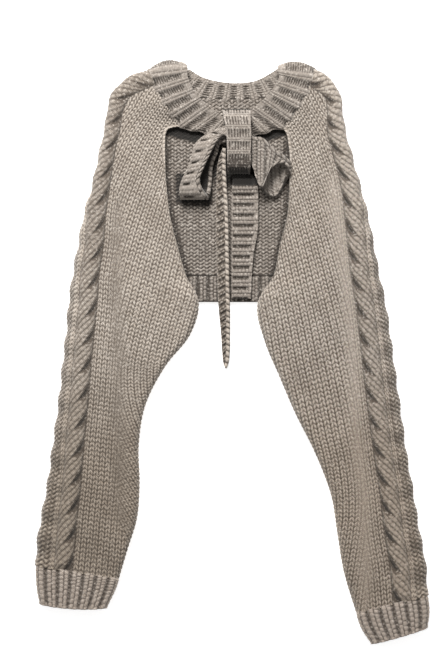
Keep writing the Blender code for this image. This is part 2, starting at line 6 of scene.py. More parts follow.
import bmesh
import bpy
import numpy as np
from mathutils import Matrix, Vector


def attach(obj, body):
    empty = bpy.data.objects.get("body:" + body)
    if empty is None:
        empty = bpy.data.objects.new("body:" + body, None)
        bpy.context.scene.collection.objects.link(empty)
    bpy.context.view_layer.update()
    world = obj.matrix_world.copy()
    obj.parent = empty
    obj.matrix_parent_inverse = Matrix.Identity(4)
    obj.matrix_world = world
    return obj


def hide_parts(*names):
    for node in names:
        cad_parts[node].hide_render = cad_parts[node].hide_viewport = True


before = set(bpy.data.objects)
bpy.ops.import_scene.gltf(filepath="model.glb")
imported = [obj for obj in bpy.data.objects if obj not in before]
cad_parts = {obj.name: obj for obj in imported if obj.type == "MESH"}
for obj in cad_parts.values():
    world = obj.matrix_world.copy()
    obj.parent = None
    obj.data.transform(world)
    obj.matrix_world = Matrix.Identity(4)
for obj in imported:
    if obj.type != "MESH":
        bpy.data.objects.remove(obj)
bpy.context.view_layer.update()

mm = 0.001
print("frame loaded:", len(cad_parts), "nodes")

clothWall = 3.5
laidHeight = 17.0  # of a sleeve, both layers and the air between
halfHeight = laidHeight / 2
quarterFold = math.pi * halfHeight / 2  # cloth in a quarter of the fold along an arm
plainRelief = 0.6  # the tone of cloth that has no stitches
hiddenStitches = (100, 30)  # stitch coordinates along and across such cloth
settleRounds = 8  # tries at where a line meets a course of knitting


# Curves and tables

def ease(x):
    # 0 below 0, 1 above 1, and 3x^2 - 2x^3 between
    x = np.clip(x, 0, 1)
    return x * x * (3 - 2 * x)


def knotsOf(rows, columns):
    # distance from row to row of a table, added up, on the given columns
    steps = np.linalg.norm(np.diff(rows[:, columns], axis=0), axis=1)
    return np.concatenate([[0], np.cumsum(steps)])


def readRows(rows, knots, place):
    # cubic Hermite curve through a table's rows: each slope is that of its neighbours
    slope = np.gradient(rows, knots, axis=0)
    k = np.clip(np.searchsorted(knots, place, side="right") - 1, 0, len(knots) - 2)
    span = (knots[k + 1] - knots[k])[..., None]
    t = (place - knots[k])[..., None] / span
    leave, arrive = slope[k] * span, slope[k + 1] * span
    return ((2 * t**3 - 3 * t**2 + 1) * rows[k] + (t**3 - 2 * t**2 + t) * leave
            + (3 * t**2 - 2 * t**3) * rows[k + 1] + (t**3 - t**2) * arrive)


# Stitches. Each gives a height from 0, the gaps between yarns, to 1, a yarn's crest. A
# Round is a power: below 1 it makes a strand full and round, and above 1 it makes it thin.

stitches = {
    "wander": 0.15,  # how far rows stray, in rows
    "legRound": 0.6,  # across a leg of a knit stitch
    "legBulgeRound": 0.8,  # along it
    "heart": 0.3,  # what fills a column's middle, between two legs
    "knitWear": 0.15,  # how uneven the stitches' heights are
    "purlRound": 0.9,
    "purlCrest": 0.22,  # how much a zigzag's crests stand out
    "purlWear": 0.1,
    "braidRound": 0.7,
    "rungWander": 0.12,
    "rungSlope": 0.1,
    "rungRound": 1.3,
    "rungSway": 0.2,
    "ribCrown": 0.2,  # how much a rib's middle stands above its sides
    "gutterRound": 0.6,
    "gutterDepth": 0.8,  # of a rib's height
    "closedGutter": 0.5,  # the stitches' height where gutters close up
    # painted highlight on the knit columns, painted shade in open gutters, lighter where they
    # close up
    "ribShine": 0.08,
    "gutterTone": -0.12,
    "closedTone": 0.3,
}


def uneven(x, y):
    # a hand knitter's unevenness, from -1 to 1: three slow waves that never quite repeat
    return (np.sin(0.83 * x + 0.31 * y) + np.sin(1.37 * y - 0.47 * x + 1.3)
            + np.sin(0.32 * x + 0.23 * y + 2.1)) / 3


def beads(turn, power=1.0):
    # a row of beads, one to a whole turn: the size of a sine, to a power
    return np.abs(np.sin(math.pi * turn)) ** power


def wave(turn):
    # from 1 at a whole turn to 0 at a half
    return 0.5 + 0.5 * np.cos(2 * math.pi * turn)


def knitStitches(column, row, lean=0.75):
    # Upturned V stitches, as the garment is knitted downwards. c is 0 in a column's middle
    # and 1 at its edge. A leg is a strand that falls lean of a row from middle to edge,
    # with a round section across and a bulge along.
    c = np.abs(column % 1 - 0.5) * 2
    across = np.clip(1 - (2 * c - 1) ** 2, 0, 1) ** stitches["legRound"]
    across = across + stitches["heart"] * (1 - c) ** 2 * (1 - across)
    turn = row + stitches["wander"] * uneven(column, row) + lean * c
    bulge = beads(turn, stitches["legBulgeRound"])
    wear = stitches["knitWear"]
    return across * bulge * (1 - wear + wear * uneven(row * 0.7, column * 1.3))


def purlStitches(column, row, lean=0.5):
    # rows of bumps that zigzag: each row follows a wave, higher on its crests
    zigzag = ease(np.abs(column % 1 * 2 - 1))
    turn = row + stitches["wander"] * uneven(column, row) - lean * zigzag
    crest, wear = stitches["purlCrest"], stitches["purlWear"]
    return (beads(turn, stitches["purlRound"]) * (1 - crest + crest * np.cos(4 * math.pi * column))
            * (1 - wear + wear * uneven(row, column)))


def ribStitches(rib, row, look, deep=1.0):
    # Two knit columns, centred on every half rib, each a braid of long beads, then a gutter
    # with rungs of purl bumps. Returns how far each point is raised in millimetres, and its
    # relief, which is its tone, painted shade in the gaps and gutters. deep is 1 in an open
    # gutter and 0 where gutters close up.
    share = look["knitShare"]
    q = (rib - 0.5 + share / 2) % 1
    knit = q < share
    gutter = np.clip((q - share) / (1 - share), 0, 1)
    column = 2 * np.clip(q / share, 0, 0.9999)
    turn = row + 0.5 * np.floor(column) + stitches["wander"] * uneven(rib * 2, row)
    braid = beads(column, stitches["braidRound"]) * beads(turn, look["beads"])
    turn = row + stitches["rungWander"] * uneven(rib, row) + stitches["rungSlope"] * gutter
    sway = np.cos(2 * math.pi * gutter + 2.5 * uneven(row * 1.3, rib))
    rung = beads(turn, stitches["rungRound"]) * (1 - stitches["rungSway"] * (1 - sway))
    crown = 1 - stitches["ribCrown"] * (1 - np.sin(math.pi * column / 2))
    sunk = np.where(knit, 0, beads(gutter, stitches["gutterRound"])) * deep
    body = np.where(knit, crown, stitches["gutterDepth"] * (1 - sunk))
    rung = rung * look["rungTone"] * deep + stitches["closedGutter"] * (1 - deep)
    stitch = np.where(knit, braid, rung)
    braidTone = 1 - look["contrast"] * (1 - braid * (0.5 + 0.5 * crown) - stitches["ribShine"])
    gutterTone = stitch + stitches["gutterTone"] * deep + stitches["closedTone"] * (1 - deep)
    relief = np.where(knit, braidTone, gutterTone)
    return look["ribHeight"] * body + look["stitchHeight"] * stitch, relief


# Meshes

def gridTriangles(number, lean):
    # two triangles a cell; the cut climbs with the columns where lean is true
    a, b, c, d = number[:-1, :-1], number[:-1, 1:], number[1:, 1:], number[1:, :-1]
    lean = np.broadcast_to(lean, a.shape)
    first = np.stack([a, b, np.where(lean, c, d)], axis=-1)
    second = np.stack([np.where(lean, a, b), c, d], axis=-1)
    return np.concatenate([first.reshape(-1, 3), second.reshape(-1, 3)])


def zipLines(near, nearPlace, far, farPlace):
    # triangles between two lines of points, each advanced in the order of their places
    place = np.concatenate([nearPlace[1:], farPlace[1:]])
    onNear = np.arange(len(place)) < len(near) - 1
    onNear = onNear[np.argsort(place, kind="stable")]
    i = np.cumsum(onNear) - onNear
    j = np.cumsum(~onNear) - ~onNear
    onward = np.where(onNear, near[np.minimum(i + 1, len(near) - 1)],
                      far[np.minimum(j + 1, len(far) - 1)])
    return np.stack([near[i], onward, far[j]], axis=1)


def closedCloth(node, outer, inner, material, sewn):
    # A closed wall from two grids of points, joined along their four edges. A grid is a
    # dict: points, places along and across, and for a knitted face its relief, its stitch
    # coordinates, which way its cells are cut and, where columns run out, which point
    # stands for each. A sewn edge is sharp, so that the cloth reads on across the seam.
    grids = []
    first = 0
    for side in (outer, inner):
        rows, columns = side["points"].shape[:2]
        number = side.get("number", np.arange(rows * columns).reshape(rows, columns)) + first
        relief = side.get("relief", np.full((rows, columns), plainRelief))
        flat = np.stack(np.broadcast_arrays(side["along"][:, None] * hiddenStitches[0],
                                            side["across"] * hiddenStitches[1]), axis=-1)
        stitch = side.get("stitch", flat)
        grids.append({"number": number, "points": side["points"].reshape(-1, 3),
                      "relief": relief.reshape(-1), "stitch": stitch.reshape(-1, 2)})
        first += rows * columns
    near, far = grids[0]["number"], grids[1]["number"]
    faces = [gridTriangles(near, outer.get("lean", True)), gridTriangles(far, True)]
    for end in (0, -1):
        faces.append(zipLines(near[:, end], outer["along"], far[:, end], inner["along"]))
        faces.append(zipLines(near[end], outer["across"], far[end], inner["across"]))
    faces = np.concatenate(faces)
    whole = ((faces[:, 0] != faces[:, 1]) & (faces[:, 1] != faces[:, 2])
             & (faces[:, 2] != faces[:, 0]))
    used, faces = np.unique(faces[whole], return_inverse=True)
    faces = faces.reshape(-1, 3)
    points, relief, stitch = (np.concatenate([g[key] for g in grids])[used]
                              for key in ("points", "relief", "stitch"))
    name = node + "_knit"
    mesh = bpy.data.meshes.new(name)
    mesh.from_pydata((points * mm).tolist(), [], faces.tolist())
    shell = bmesh.new()
    shell.from_mesh(mesh)
    bmesh.ops.recalc_face_normals(shell, faces=shell.faces)
    shell.verts.ensure_lookup_table()
    rims = {"start": near[0], "end": near[-1], "first": near[:, 0]}
    for rim in sewn:
        line = np.searchsorted(used, rims[rim])
        for a, b in zip(line[:-1], line[1:]):
            if a != b:
                shell.edges.get((shell.verts[a], shell.verts[b])).smooth = False
    shell.to_mesh(mesh)
    shell.free()
    mesh.shade_smooth()
    tone = mesh.attributes.new("relief", "FLOAT", "POINT")
    tone.data.foreach_set("value", relief.astype(np.float32))
    corner = np.zeros(len(mesh.loops), np.int32)
    mesh.loops.foreach_get("vertex_index", corner)
    layer = mesh.uv_layers.new(name="stitch")
    layer.uv.foreach_set("vector", stitch[corner].astype(np.float32).ravel())
    mesh.materials.append(material)
    piece = bpy.data.objects.new(name, mesh)
    bpy.context.scene.collection.objects.link(piece)
    print("made", name, len(faces), "triangles")
    return piece


def layOn(piece, node):
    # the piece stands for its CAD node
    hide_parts(node)
    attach(piece, "root")


# Yarn

yarn = {
    "crest": (0.42, 0.365, 0.31, 1),
    # painted shade: the tone of the gaps between strands, where shade falls
    "gap": (0.075, 0.058, 0.044, 1),
    "deepShare": 0.15,  # of the gaps' tone: painted deep shadow, deep inside the bow and wherever relief is below 0
    "pale": (0.58, 0.525, 0.465, 1),
    "brown": (0.5, 0.42, 0.34, 1),
    "blotch": (0.8, 0.77, 0.74, 1),
    "crestRelief": 0.8,  # the relief at which yarn has its full tone
    # over which values of the noise a colour comes in, and how much of it
    "paleFlecks": (0.52, 0.72, 0.6),
    "brownFlecks": (0.45, 0.28, 0.5),
    "blotches": (0.35, 0.7, 0.35),
    "lowLevels": (-0.14, -0.36),  # heights between which an arm's low tone, painted shade, comes in
    "finish": {"Roughness": 0.92, "Sheen Weight": 0.35, "Sheen Roughness": 0.6,
               "Sheen Tint": (0.93, 0.89, 0.84, 1), "Specular IOR Level": 0.12},
    "fibreSize": 1500.0,  # sizes of the noises, to a metre
    "fleckSize": 330.0,
    "blotchSize": 28.0,
    "plyTurns": 1.3,  # of the twist, to a stitch
    "plyWander": 1.5,
    "fuzzShare": 1.4,  # of the fibres in the bump, against the twist
    "bumpStrength": 0.55,
    "bumpDepth": 0.0006,
}


def setInputs(node, values):
    for name, value in values.items():
        node.inputs[name].default_value = value


def yarnMaterial(name, tone, lowShade):
    # Heathered marl, flecked pale and brown by noise. Painted shade: gap to crest by the
    # stitches' relief, darker still where relief is below 0, painted deep shadow, and the low
    # tone times the colour down the arms. The yarn's twist and fuzz are in the bump.
    material = bpy.data.materials.new(name)
    material.use_nodes = True
    nodes, links = material.node_tree.nodes, material.node_tree.links
    shader = nodes["Principled BSDF"]
    setInputs(shader, yarn["finish"])

    def node(kind, **values):
        made = nodes.new(kind)
        for key, value in values.items():
            if key in made.inputs:
                made.inputs[key].default_value = value
            else:
                setattr(made, key, value)
        return made

    def noise(size, detail, rough):
        made = node("ShaderNodeTexNoise", Scale=size, Detail=detail, Roughness=rough)
        links.new(place.outputs["Object"], made.inputs["Vector"])
        return made.outputs["Fac"]

    def remap(source, low, high, most=1.0):
        # 0 at low and most at high, eased between
        made = nodes.new("ShaderNodeMapRange")
        made.interpolation_type = "SMOOTHSTEP"
        setInputs(made, {"From Min": low, "From Max": high, "To Min": 0.0, "To Max": most})
        links.new(source, made.inputs["Value"])
        return made.outputs["Result"]

    def blendColours(share, first, second, kind="MIX"):
        made = node("ShaderNodeMix", data_type="RGBA", blend_type=kind, clamp_result=False)
        for socket, value in ((0, share), (6, first), (7, second)):
            if isinstance(value, (tuple, float)):
                made.inputs[socket].default_value = value
            else:
                links.new(value, made.inputs[socket])
        return made.outputs[2]

    place = nodes.new("ShaderNodeTexCoord")
    relief = node("ShaderNodeAttribute", attribute_name="relief")
    split = nodes.new("ShaderNodeSeparateXYZ")
    links.new(place.outputs["Object"], split.inputs[0])

    crest = tuple(a * b for a, b in zip(yarn["crest"][:3], tone)) + (1,)
    gap = tuple(a * b for a, b in zip(yarn["gap"][:3], tone)) + (1,)
    deep = tuple(a * yarn["deepShare"] for a in gap[:3]) + (1,)
    # painted shade: gap to crest by the stitches' relief
    colour = blendColours(remap(relief.outputs["Fac"], 0.0, yarn["crestRelief"]), gap, crest)
    flecks = noise(yarn["fleckSize"], 3.0, 0.6)
    colour = blendColours(remap(flecks, *yarn["paleFlecks"]), colour, yarn["pale"])
    colour = blendColours(remap(flecks, *yarn["brownFlecks"]), colour, yarn["brown"], "MULTIPLY")
    blotch = noise(yarn["blotchSize"], 2.0, 0.5)
    colour = blendColours(remap(blotch, *yarn["blotches"]), colour, yarn["blotch"], "MULTIPLY")
    # painted deep shadow where relief is below 0
    colour = blendColours(remap(relief.outputs["Fac"], -1.0, 0.0), deep, colour)
    # painted shade, darker down the arms by the low tone, where the light falls off
    down = remap(split.outputs["Y"], *yarn["lowLevels"])
    colour = blendColours(down, colour, blendColours(1.0, colour, lowShade, "MULTIPLY"))
    links.new(colour, shader.inputs["Base Color"])

    fibre = noise(yarn["fibreSize"], 4.0, 0.7)
    ply = node("ShaderNodeTexWave", Scale=yarn["plyTurns"], Distortion=yarn["plyWander"],
               Detail=1.0, bands_direction="DIAGONAL")
    uv = node("ShaderNodeUVMap", uv_map="stitch")
    links.new(uv.outputs["UV"], ply.inputs["Vector"])
    fuzz = node("ShaderNodeMath", operation="MULTIPLY_ADD")
    links.new(fibre, fuzz.inputs[0])
    fuzz.inputs[1].default_value = yarn["fuzzShare"]
    links.new(ply.outputs["Fac"], fuzz.inputs[2])
    bump = node("ShaderNodeBump", Strength=yarn["bumpStrength"], Distance=yarn["bumpDepth"])
    links.new(fuzz.outputs["Value"], bump.inputs["Height"])
    links.new(bump.outputs["Normal"], shader.inputs["Normal"])
    return material


# one yarn in five copies, darker by tone: painted shade on all but the left sleeve
leftYarn = yarnMaterial("left_sleeve_yarn", (1.0, 1.0, 1.0), (0.7, 0.665, 0.62, 1))
rightYarn = yarnMaterial("right_sleeve_yarn", (0.93, 0.93, 0.93), (0.86, 0.82, 0.77, 1))
cuffYarn = yarnMaterial("cuff_yarn", (0.84, 0.84, 0.85), (0.9, 0.87, 0.85, 1))
ribYarn = yarnMaterial("rib_knit_yarn", (0.6, 0.6, 0.61), (0.9, 0.87, 0.85, 1))
insideYarn = yarnMaterial("inside_knit_yarn", (0.6, 0.6, 0.61), (0.9, 0.87, 0.84, 1))
print("yarn ready")


# Sleeves

sleeves = {
    "underarmRow": 8,  # the last closed course; above it the front is free
    "underarmStep": 0.6,  # from that course to the next
    "openingRows": 1.2,  # of the table, over which the front comes free
    "underarmGap": 0.15,  # between the two layers where they meet
    "lieDrop": 8.3,  # how far the front sinks to the back at its free edge
    "lieReach": 46.0,
    "backShare": 0.7,  # about how much of a course the back layer has
    "cablePitch": 36.5,
    "cableHalf": 12.0,
    "cableHeight": 3.8,
    "cableBend": 0.4,  # how much steeper a strand runs at the sides
    "cableRow": 7.0,  # a stitch along a strand, pulled long
    "strandColumns": 4,
    "strandHeight": 0.9,  # of those stitches
    "grooveWidth": (0.2, 0.65),  # by the fold, and how much more towards the inside
    "grooveDepth": 0.97,
    "notchTone": 0.95,  # painted shade in the grooves' open ends: how dark it is
    "cableWander": 0.02,
    "cableTone": (0.06, 0.66),  # its tone, painted shade, of the gaps between its stitches, and how much more on them
    "cableStart": 9.0,  # how far it takes to rise from the cuff
    "cableEnd": (75.0, 60.0, 0.65),  # flatter so near the neckband, over how far, by how much
    "rowStep": 1.15,  # between rows of points, five or so a stitch
    "innerEvery": 10,  # the hidden side has one row for so many
    "pointsPerColumn": 6,
    "hiddenPoints": (2, 2, 4, 3, 2),  # round the hidden side, from back to front
    "points": {"backCurl": 3, "back": 4, "fold": 26, "cable": 24, "edge": 6},
    "stitchHeight": 1.6,
    "edgeStrip": 3.0,  # the selvedge
    "edgeRoll": 5.5,  # how much more of it rolls up near the band
    "rollLevel": (55.0, 25.0),  # from which height on the garment, over how far
    "rollHeight": 1.2,
    "rollTone": 0.3,  # of its gaps, painted shade
    "looseLift": 0.6,
    "besideCable": 5.5,  # the knit column on the cable's outer side
    "ladderStart": 1.0,
    "ladderDepth": 1.4,
    "ladderTones": (1.1, -0.12),  # of its rungs, and of the gaps, painted shade
    "backColumn": 6.5,  # a column on the fold and the back, for the yarn's twist
    "foldColumn": 8.0,  # the knit column outside the ladder
    "scallop": 2.4,  # the cable's pull on the fold's outline
    # stitch sizes down the arm, at these heights on the garment
    "levels": (-520, -370, -110, 0, 190),
    "columnWidths": (7.7, 7.4, 6.6, 6.6, 6.6),
    "rowHeights": (5.9, 6.0, 6.0, 5.8, 5.0),
    # each row: outer_x, outer_y, inner_x, inner_y, cloth to the cable's middle, bow
    "left": [(-250, -456, -144, -473, 40, 0), (-248, -424, -133, -436, 41, 0),
             (-242, -389, -121, -397, 38, 0), (-234, -345, -117, -350, 35, 0),
             (-227, -293, -118, -298, 32, 0), (-220, -243, -109, -246, 30, 0),
             (-215, -194, -83, -196, 29, 0), (-210, -152, -51, -155, 28, 0),
             (-207, -114, -40, -114, 29, 0), (-202, -79, -55, -81, 26, 0),
             (-195, -40, -67, -40, 25, 0), (-187, 1, -77, 1, 20, 0), (-176, 40, -82, 46, 15, 0),
             (-165, 82, -83, 77, 10, 0), (-157, 120, -83, 96, 10, 0), (-153, 150, -82, 107, 13, 1),
             (-138, 173, -77, 113, 15, 3), (-120, 182, -66, 115, 15, 5),
             (-103, 190, -56, 113, 15, 7)],
    "right": [(257, -495, 166, -517, 38, 0), (254, -452, 150, -464, 38, 0),
              (246, -410, 142, -417, 37, 0), (238, -360, 133, -363, 35, 0),
              (229, -308, 112, -308, 34, 0), (222, -256, 86, -256, 34, 0),
              (215, -207, 65, -207, 33, 0), (209, -163, 47, -164, 32, 0),
              (202, -114, 38, -114, 31, 0), (194, -77, 58, -78, 29, 0), (187, -40, 66, -40, 26, 0),
              (179, 1, 76, 1, 22, 0), (168, 43, 79, 46, 17, 0), (157.5, 82, 79, 77, 16, 0),
              (147.5, 118, 77, 95, 14, 0), (143.5, 151, 75, 105, 13, 1),
              (135, 172, 73, 109, 14, 3), (124, 180.5, 71, 112, 15, 5),
              (111, 189.5, 69, 114, 15, 6)],
    # hidden armhole seams: y, x
    "leftArmhole": [(-114, -90), (0, -94), (70, -97), (125, -96), (165, -85)],
    "rightArmhole": [(-114, 92), (0, 95), (70, 97.5), (125, 99), (165, 95)],
    # how the knitting lies past a soft crease beside the cable. A columns row is a height
    # on the garment, the columns' lean towards the neck in degrees, a column's width and a
    # row's height; a crease row is y, x
    "leftKnit": {
        "columns": [(-500, -15, 7.8, 5.9), (-450, -22, 8.0, 5.9), (-370, -32, 8.4, 6.0),
                    (-290, -28, 8.6, 6.0), (-190, 9, 8.4, 6.1), (-110, 15, 8.8, 6.0),
                    (0, 19, 8.2, 5.8), (85, 25, 7.6, 5.2), (140, 45, 8.2, 4.7),
                    (200, 62, 11.8, 4.6)],
        "passes": (-113, 45),  # the middle column's place, x and y
        "rowsSag": 7,  # degrees
        "crease": [(-500, -80), (-440, -125), (-400, -143), (-370, -143), (-280, -142),
                   (-190, -144), (-110, -146), (20, -144), (45, -158), (200, -190)],
        "creaseLevels": (-430, 50),
        "creaseHalf": 10.5,
        "creaseDepth": 3.0,
        # painted shade: the tone the stitches fade to in this crease's hollow
        "creaseTone": 0.3,
        # painted shade on the cable: its tone at each of the levels, darker up the arm
        "cableTones": (1.0, 0.9, 0.78, 0.66, 0.6),
    },
    "rightKnit": {
        "columns": [(-520, -6, 7.8, 6.0), (-450, -9, 7.8, 6.0), (-396, -7, 7.8, 6.0),
                    (-345, 3, 8.4, 6.0), (-290, 11, 9.0, 6.1), (-190, 12, 9.1, 6.1),
                    (-110, 15, 8.7, 6.0), (0, 17, 7.7, 5.8), (85, 22, 7.2, 5.2),
                    (140, 45, 8.2, 4.7), (200, 62, 11.8, 4.6)],
        "passes": (103, 45),
        "rowsSag": 7,
        "crease": [(-500, 178), (-370, 175), (-300, 167), (-266, 164), (-190, 162),
                   (-110, 155), (-45, 147), (45, 135), (110, 125), (200, 160)],
        "creaseLevels": (-520, 80),
        "creaseHalf": 11.0,
        "creaseDepth": -1.2,
        # painted light: the tone the stitches fade to along this ridge
        "creaseTone": 0.54,
        # painted shade on the cable: its tone at each of the levels
        "cableTones": (1.0, 0.9, 0.8, 0.9, 0.9),
    },
    "creaseBlur": 0.65,  # how far the stitches fade where the cloth is creased
    "creaseEnds": 60.0,  # how far a crease takes to fade out
    "columnSamples": 1200,
    "creaseSamples": 500,
    "columnRounds": 12,  # tries at where a column crosses a course
    "columnJump": 40.0,  # the furthest that one try moves
    "columnEnd": 0.05,  # so near a line, a column has reached it
}


class Arm:
    # One arm: where each course of knitting lies, and how its cloth turns round the fold

    def __init__(self, table, side, armhole=(), knit=None):
        self.rows = np.array(table, float)
        self.side = side
        self.knots = knotsOf(self.rows, [0, 1])
        self.armhole = np.array(armhole, float)
        self.knit = knit
        self.open = len(armhole) > 0
        self.underarm = self.knots[sleeves["underarmRow"]] if self.open else math.inf
        rowNumber = sleeves["underarmRow"] + sleeves["openingRows"]
        self.opened = np.interp(rowNumber, range(len(self.knots)), self.knots)
        if knit:
            self.readColumns()

    def armholeX(self, y):
        return readRows(self.armhole[:, 1:2], self.armhole[:, 0], y)[..., 0]

    def course(self, along):
        # named measures of the courses at distances along the outer fold
        row = readRows(self.rows, self.knots, along)
        outer, inner = row[..., 0:2], row[..., 2:4]
        width = np.linalg.norm(inner - outer, axis=-1)
        backWidth = width.copy()
        if self.open:
            share = np.full(width.shape, sleeves["backShare"])
            for _ in range(settleRounds):  # where the course meets the seam
                y = outer[..., 1] + share * (inner[..., 1] - outer[..., 1])
                share = (self.armholeX(y) - outer[..., 0]) / (inner[..., 0] - outer[..., 0])
            backWidth = np.where(along > self.underarm, share * width, width)
        return {"outer": outer, "direction": (inner - outer) / width[..., None], "width": width,
                "backWidth": backWidth, "cable": row[..., 4], "bow": row[..., 5]}

    def closed(self, along):
        # 1 where the underarm is folded, 0 where the front layer lies free
        if not self.open:
            return np.ones_like(along)
        return 1 - ease((along - self.underarm) / (self.opened - self.underarm))

    def readColumns(self):
        # Down the arm: where the middle column of knitting runs, from its lean off the
        # vertical added up, how many rows lie below, and how far across the crease is.
        level, lean, wide, tall = np.array(self.knit["columns"], float).T
        y = np.linspace(level[0], level[-1], sleeves["columnSamples"])
        lean, wide, tall = (np.interp(y, level, v) for v in (np.radians(lean), wide, tall))
        step = y[1] - y[0]
        x = -self.side * np.cumsum(np.tan(lean)) * step
        passX, passY = self.knit["passes"]
        x += passX - np.interp(passY, y, x)
        rows = np.cumsum(1 / np.cos(lean) / tall) * step
        slope = np.sin(lean + math.radians(self.knit["rowsSag"])) * wide / tall
        self.field = {"y": y, "x": x, "wide": wide, "rows": rows, "slope": slope}
        self.creaseAlong = np.linspace(0, self.knots[-1], sleeves["creaseSamples"])
        course = self.course(self.creaseAlong)
        (outerX, outerY), (directionX, directionY) = course["outer"].T, course["direction"].T
        creaseLine = np.array(self.knit["crease"], float).T
        across = course["width"] / 2
        for _ in range(settleRounds):
            creaseX = np.interp(outerY + directionY * across, *creaseLine)
            across = (creaseX - outerX) / directionX
        self.creaseAcross = across

    def stitchPlace(self, course, across):
        # the column and row of knitting at distances across each course
        x = course["outer"][:, :1] + course["direction"][:, :1] * across
        y = course["outer"][:, 1:] + course["direction"][:, 1:] * across
        middle, wide, rows, slope = (np.interp(y, self.field["y"], self.field[key])
                                     for key in ("x", "wide", "rows", "slope"))
        column = -self.side * (x - middle) / wide
        return column, rows + column * slope

    def columnsAcross(self, course, columns, start):
        # how far across each course the given columns run, by Newton's steps
        across = np.repeat(start[:, None], len(columns), axis=1)
        for _ in range(sleeves["columnRounds"]):
            here = self.stitchPlace(course, across)[0]
            ahead = self.stitchPlace(course, across + 1)[0]
            jump = (columns - here) / np.maximum(ahead - here, 0.04)
            across = across + np.clip(jump, -sleeves["columnJump"], sleeves["columnJump"])
        return across

    def inCrease(self, across, along):
        # 1 along the middle of the soft crease, falling to 0 beside and beyond it
        level = self.course(along)["outer"][..., 1]
        low, high = self.knit["creaseLevels"]
        reach = sleeves["creaseEnds"]
        fade = ease((level - low) / reach) * ease((high - level) / reach)
        middle = np.interp(along, self.creaseAlong, self.creaseAcross)
        return fade * np.exp(-((across - middle) / self.knit["creaseHalf"]) ** 2)

    def ends(self, along):
        # cloth from the outer fold to the front layer's end and to the back layer's
        course = self.course(along)
        reach = 2 * quarterFold - 2 * halfHeight
        return course["width"] + reach, -(course["backWidth"] + reach)

    def surface(self, along, cloth, raiseBy):
        # cloth runs from the outer fold, front positive: a quarter circle, a flat layer,
        # and a quarter circle down to the underarm, moved out from the wall by raiseBy
        course = self.course(along)
        width = course["width"]
        closed = self.closed(along)
        front = cloth >= 0
        reach = np.abs(cloth)
        span = np.where(front, width, course["backWidth"]) - 2 * halfHeight
        shut = np.where(front, closed, along <= self.underarm)
        turn = np.clip(cloth / halfHeight, -math.pi / 2, math.pi / 2)
        curl = np.clip((reach - quarterFold - span) / halfHeight, 0, math.pi / 2)
        across = (halfHeight * (1 - np.cos(turn)) + np.clip(reach - quarterFold, 0, span)
                  + halfHeight * np.sin(curl))
        lift = shut * (halfHeight - sleeves["underarmGap"]) * (1 - np.cos(curl))
        top = halfHeight * (1 + np.sin(turn))
        sink = (sleeves["lieDrop"] * (1 - closed)
                * ease((across - width + sleeves["lieReach"]) / sleeves["lieReach"])
                + (self.knit["creaseDepth"] * self.inCrease(across, along) if self.knit else 0))
        height = np.where(front, top - lift - sink * top / laidHeight, top + lift)
        outward = np.where(curl > 0, shut * np.sin(curl), -np.cos(turn))
        upward = np.where(curl > 0, 1 - shut + shut * np.cos(curl), np.abs(np.sin(turn)))
        length = np.hypot(outward, upward)
        outward, upward = outward / length, upward / length
        upward = np.where(front, upward, -upward)
        across = across + raiseBy * outward
        height = height + raiseBy * upward
        share = across / width
        bow = course["bow"] * 4 * share * (1 - share) * (1 + np.sin(turn)) / 2
        direction = course["direction"]
        away = self.side * np.stack([-direction[..., 1], direction[..., 0]], axis=-1)
        flat = course["outer"] + direction * across[..., None] + away * bow[..., None]
        return np.concatenate([flat, np.maximum(height, 0)[..., None]], axis=-1)


def stretch(start, end, steps):
    # even places for each course from start up to, and not at, end
    share = np.arange(steps) / steps
    return start[:, None] + (end - start)[:, None] * share


def plainInside(arm, along):
    # the wall's hidden side: few points, a wall's thickness in
    front, back = arm.ends(along)
    turn = np.full(along.shape, quarterFold)
    stops = [back, back + quarterFold, -turn, turn, front - quarterFold, front]
    parts = [stretch(start, end, steps) for start, end, steps
             in zip(stops[:-1], stops[1:], sleeves["hiddenPoints"])]
    cloth = np.concatenate(parts + [front[:, None]], axis=1)
    grid = np.repeat(along[:, None], cloth.shape[1], axis=1)
    return {"points": arm.surface(grid, cloth, np.full(cloth.shape, -clothWall)), "along": along,
            "across": cloth[0] / front[0]}


def layTube(node, arm, along, outer, inner, material, sewn):
    # the closed tube
    front, back = arm.ends(along)
    piece = closedCloth(node, outer, inner, material, sewn)
    layOn(piece, node)


def scallopOf(along):
    # how far the cable pushes out the fold's outline, once for each crossing
    return sleeves["scallop"] * wave(along / sleeves["cablePitch"])


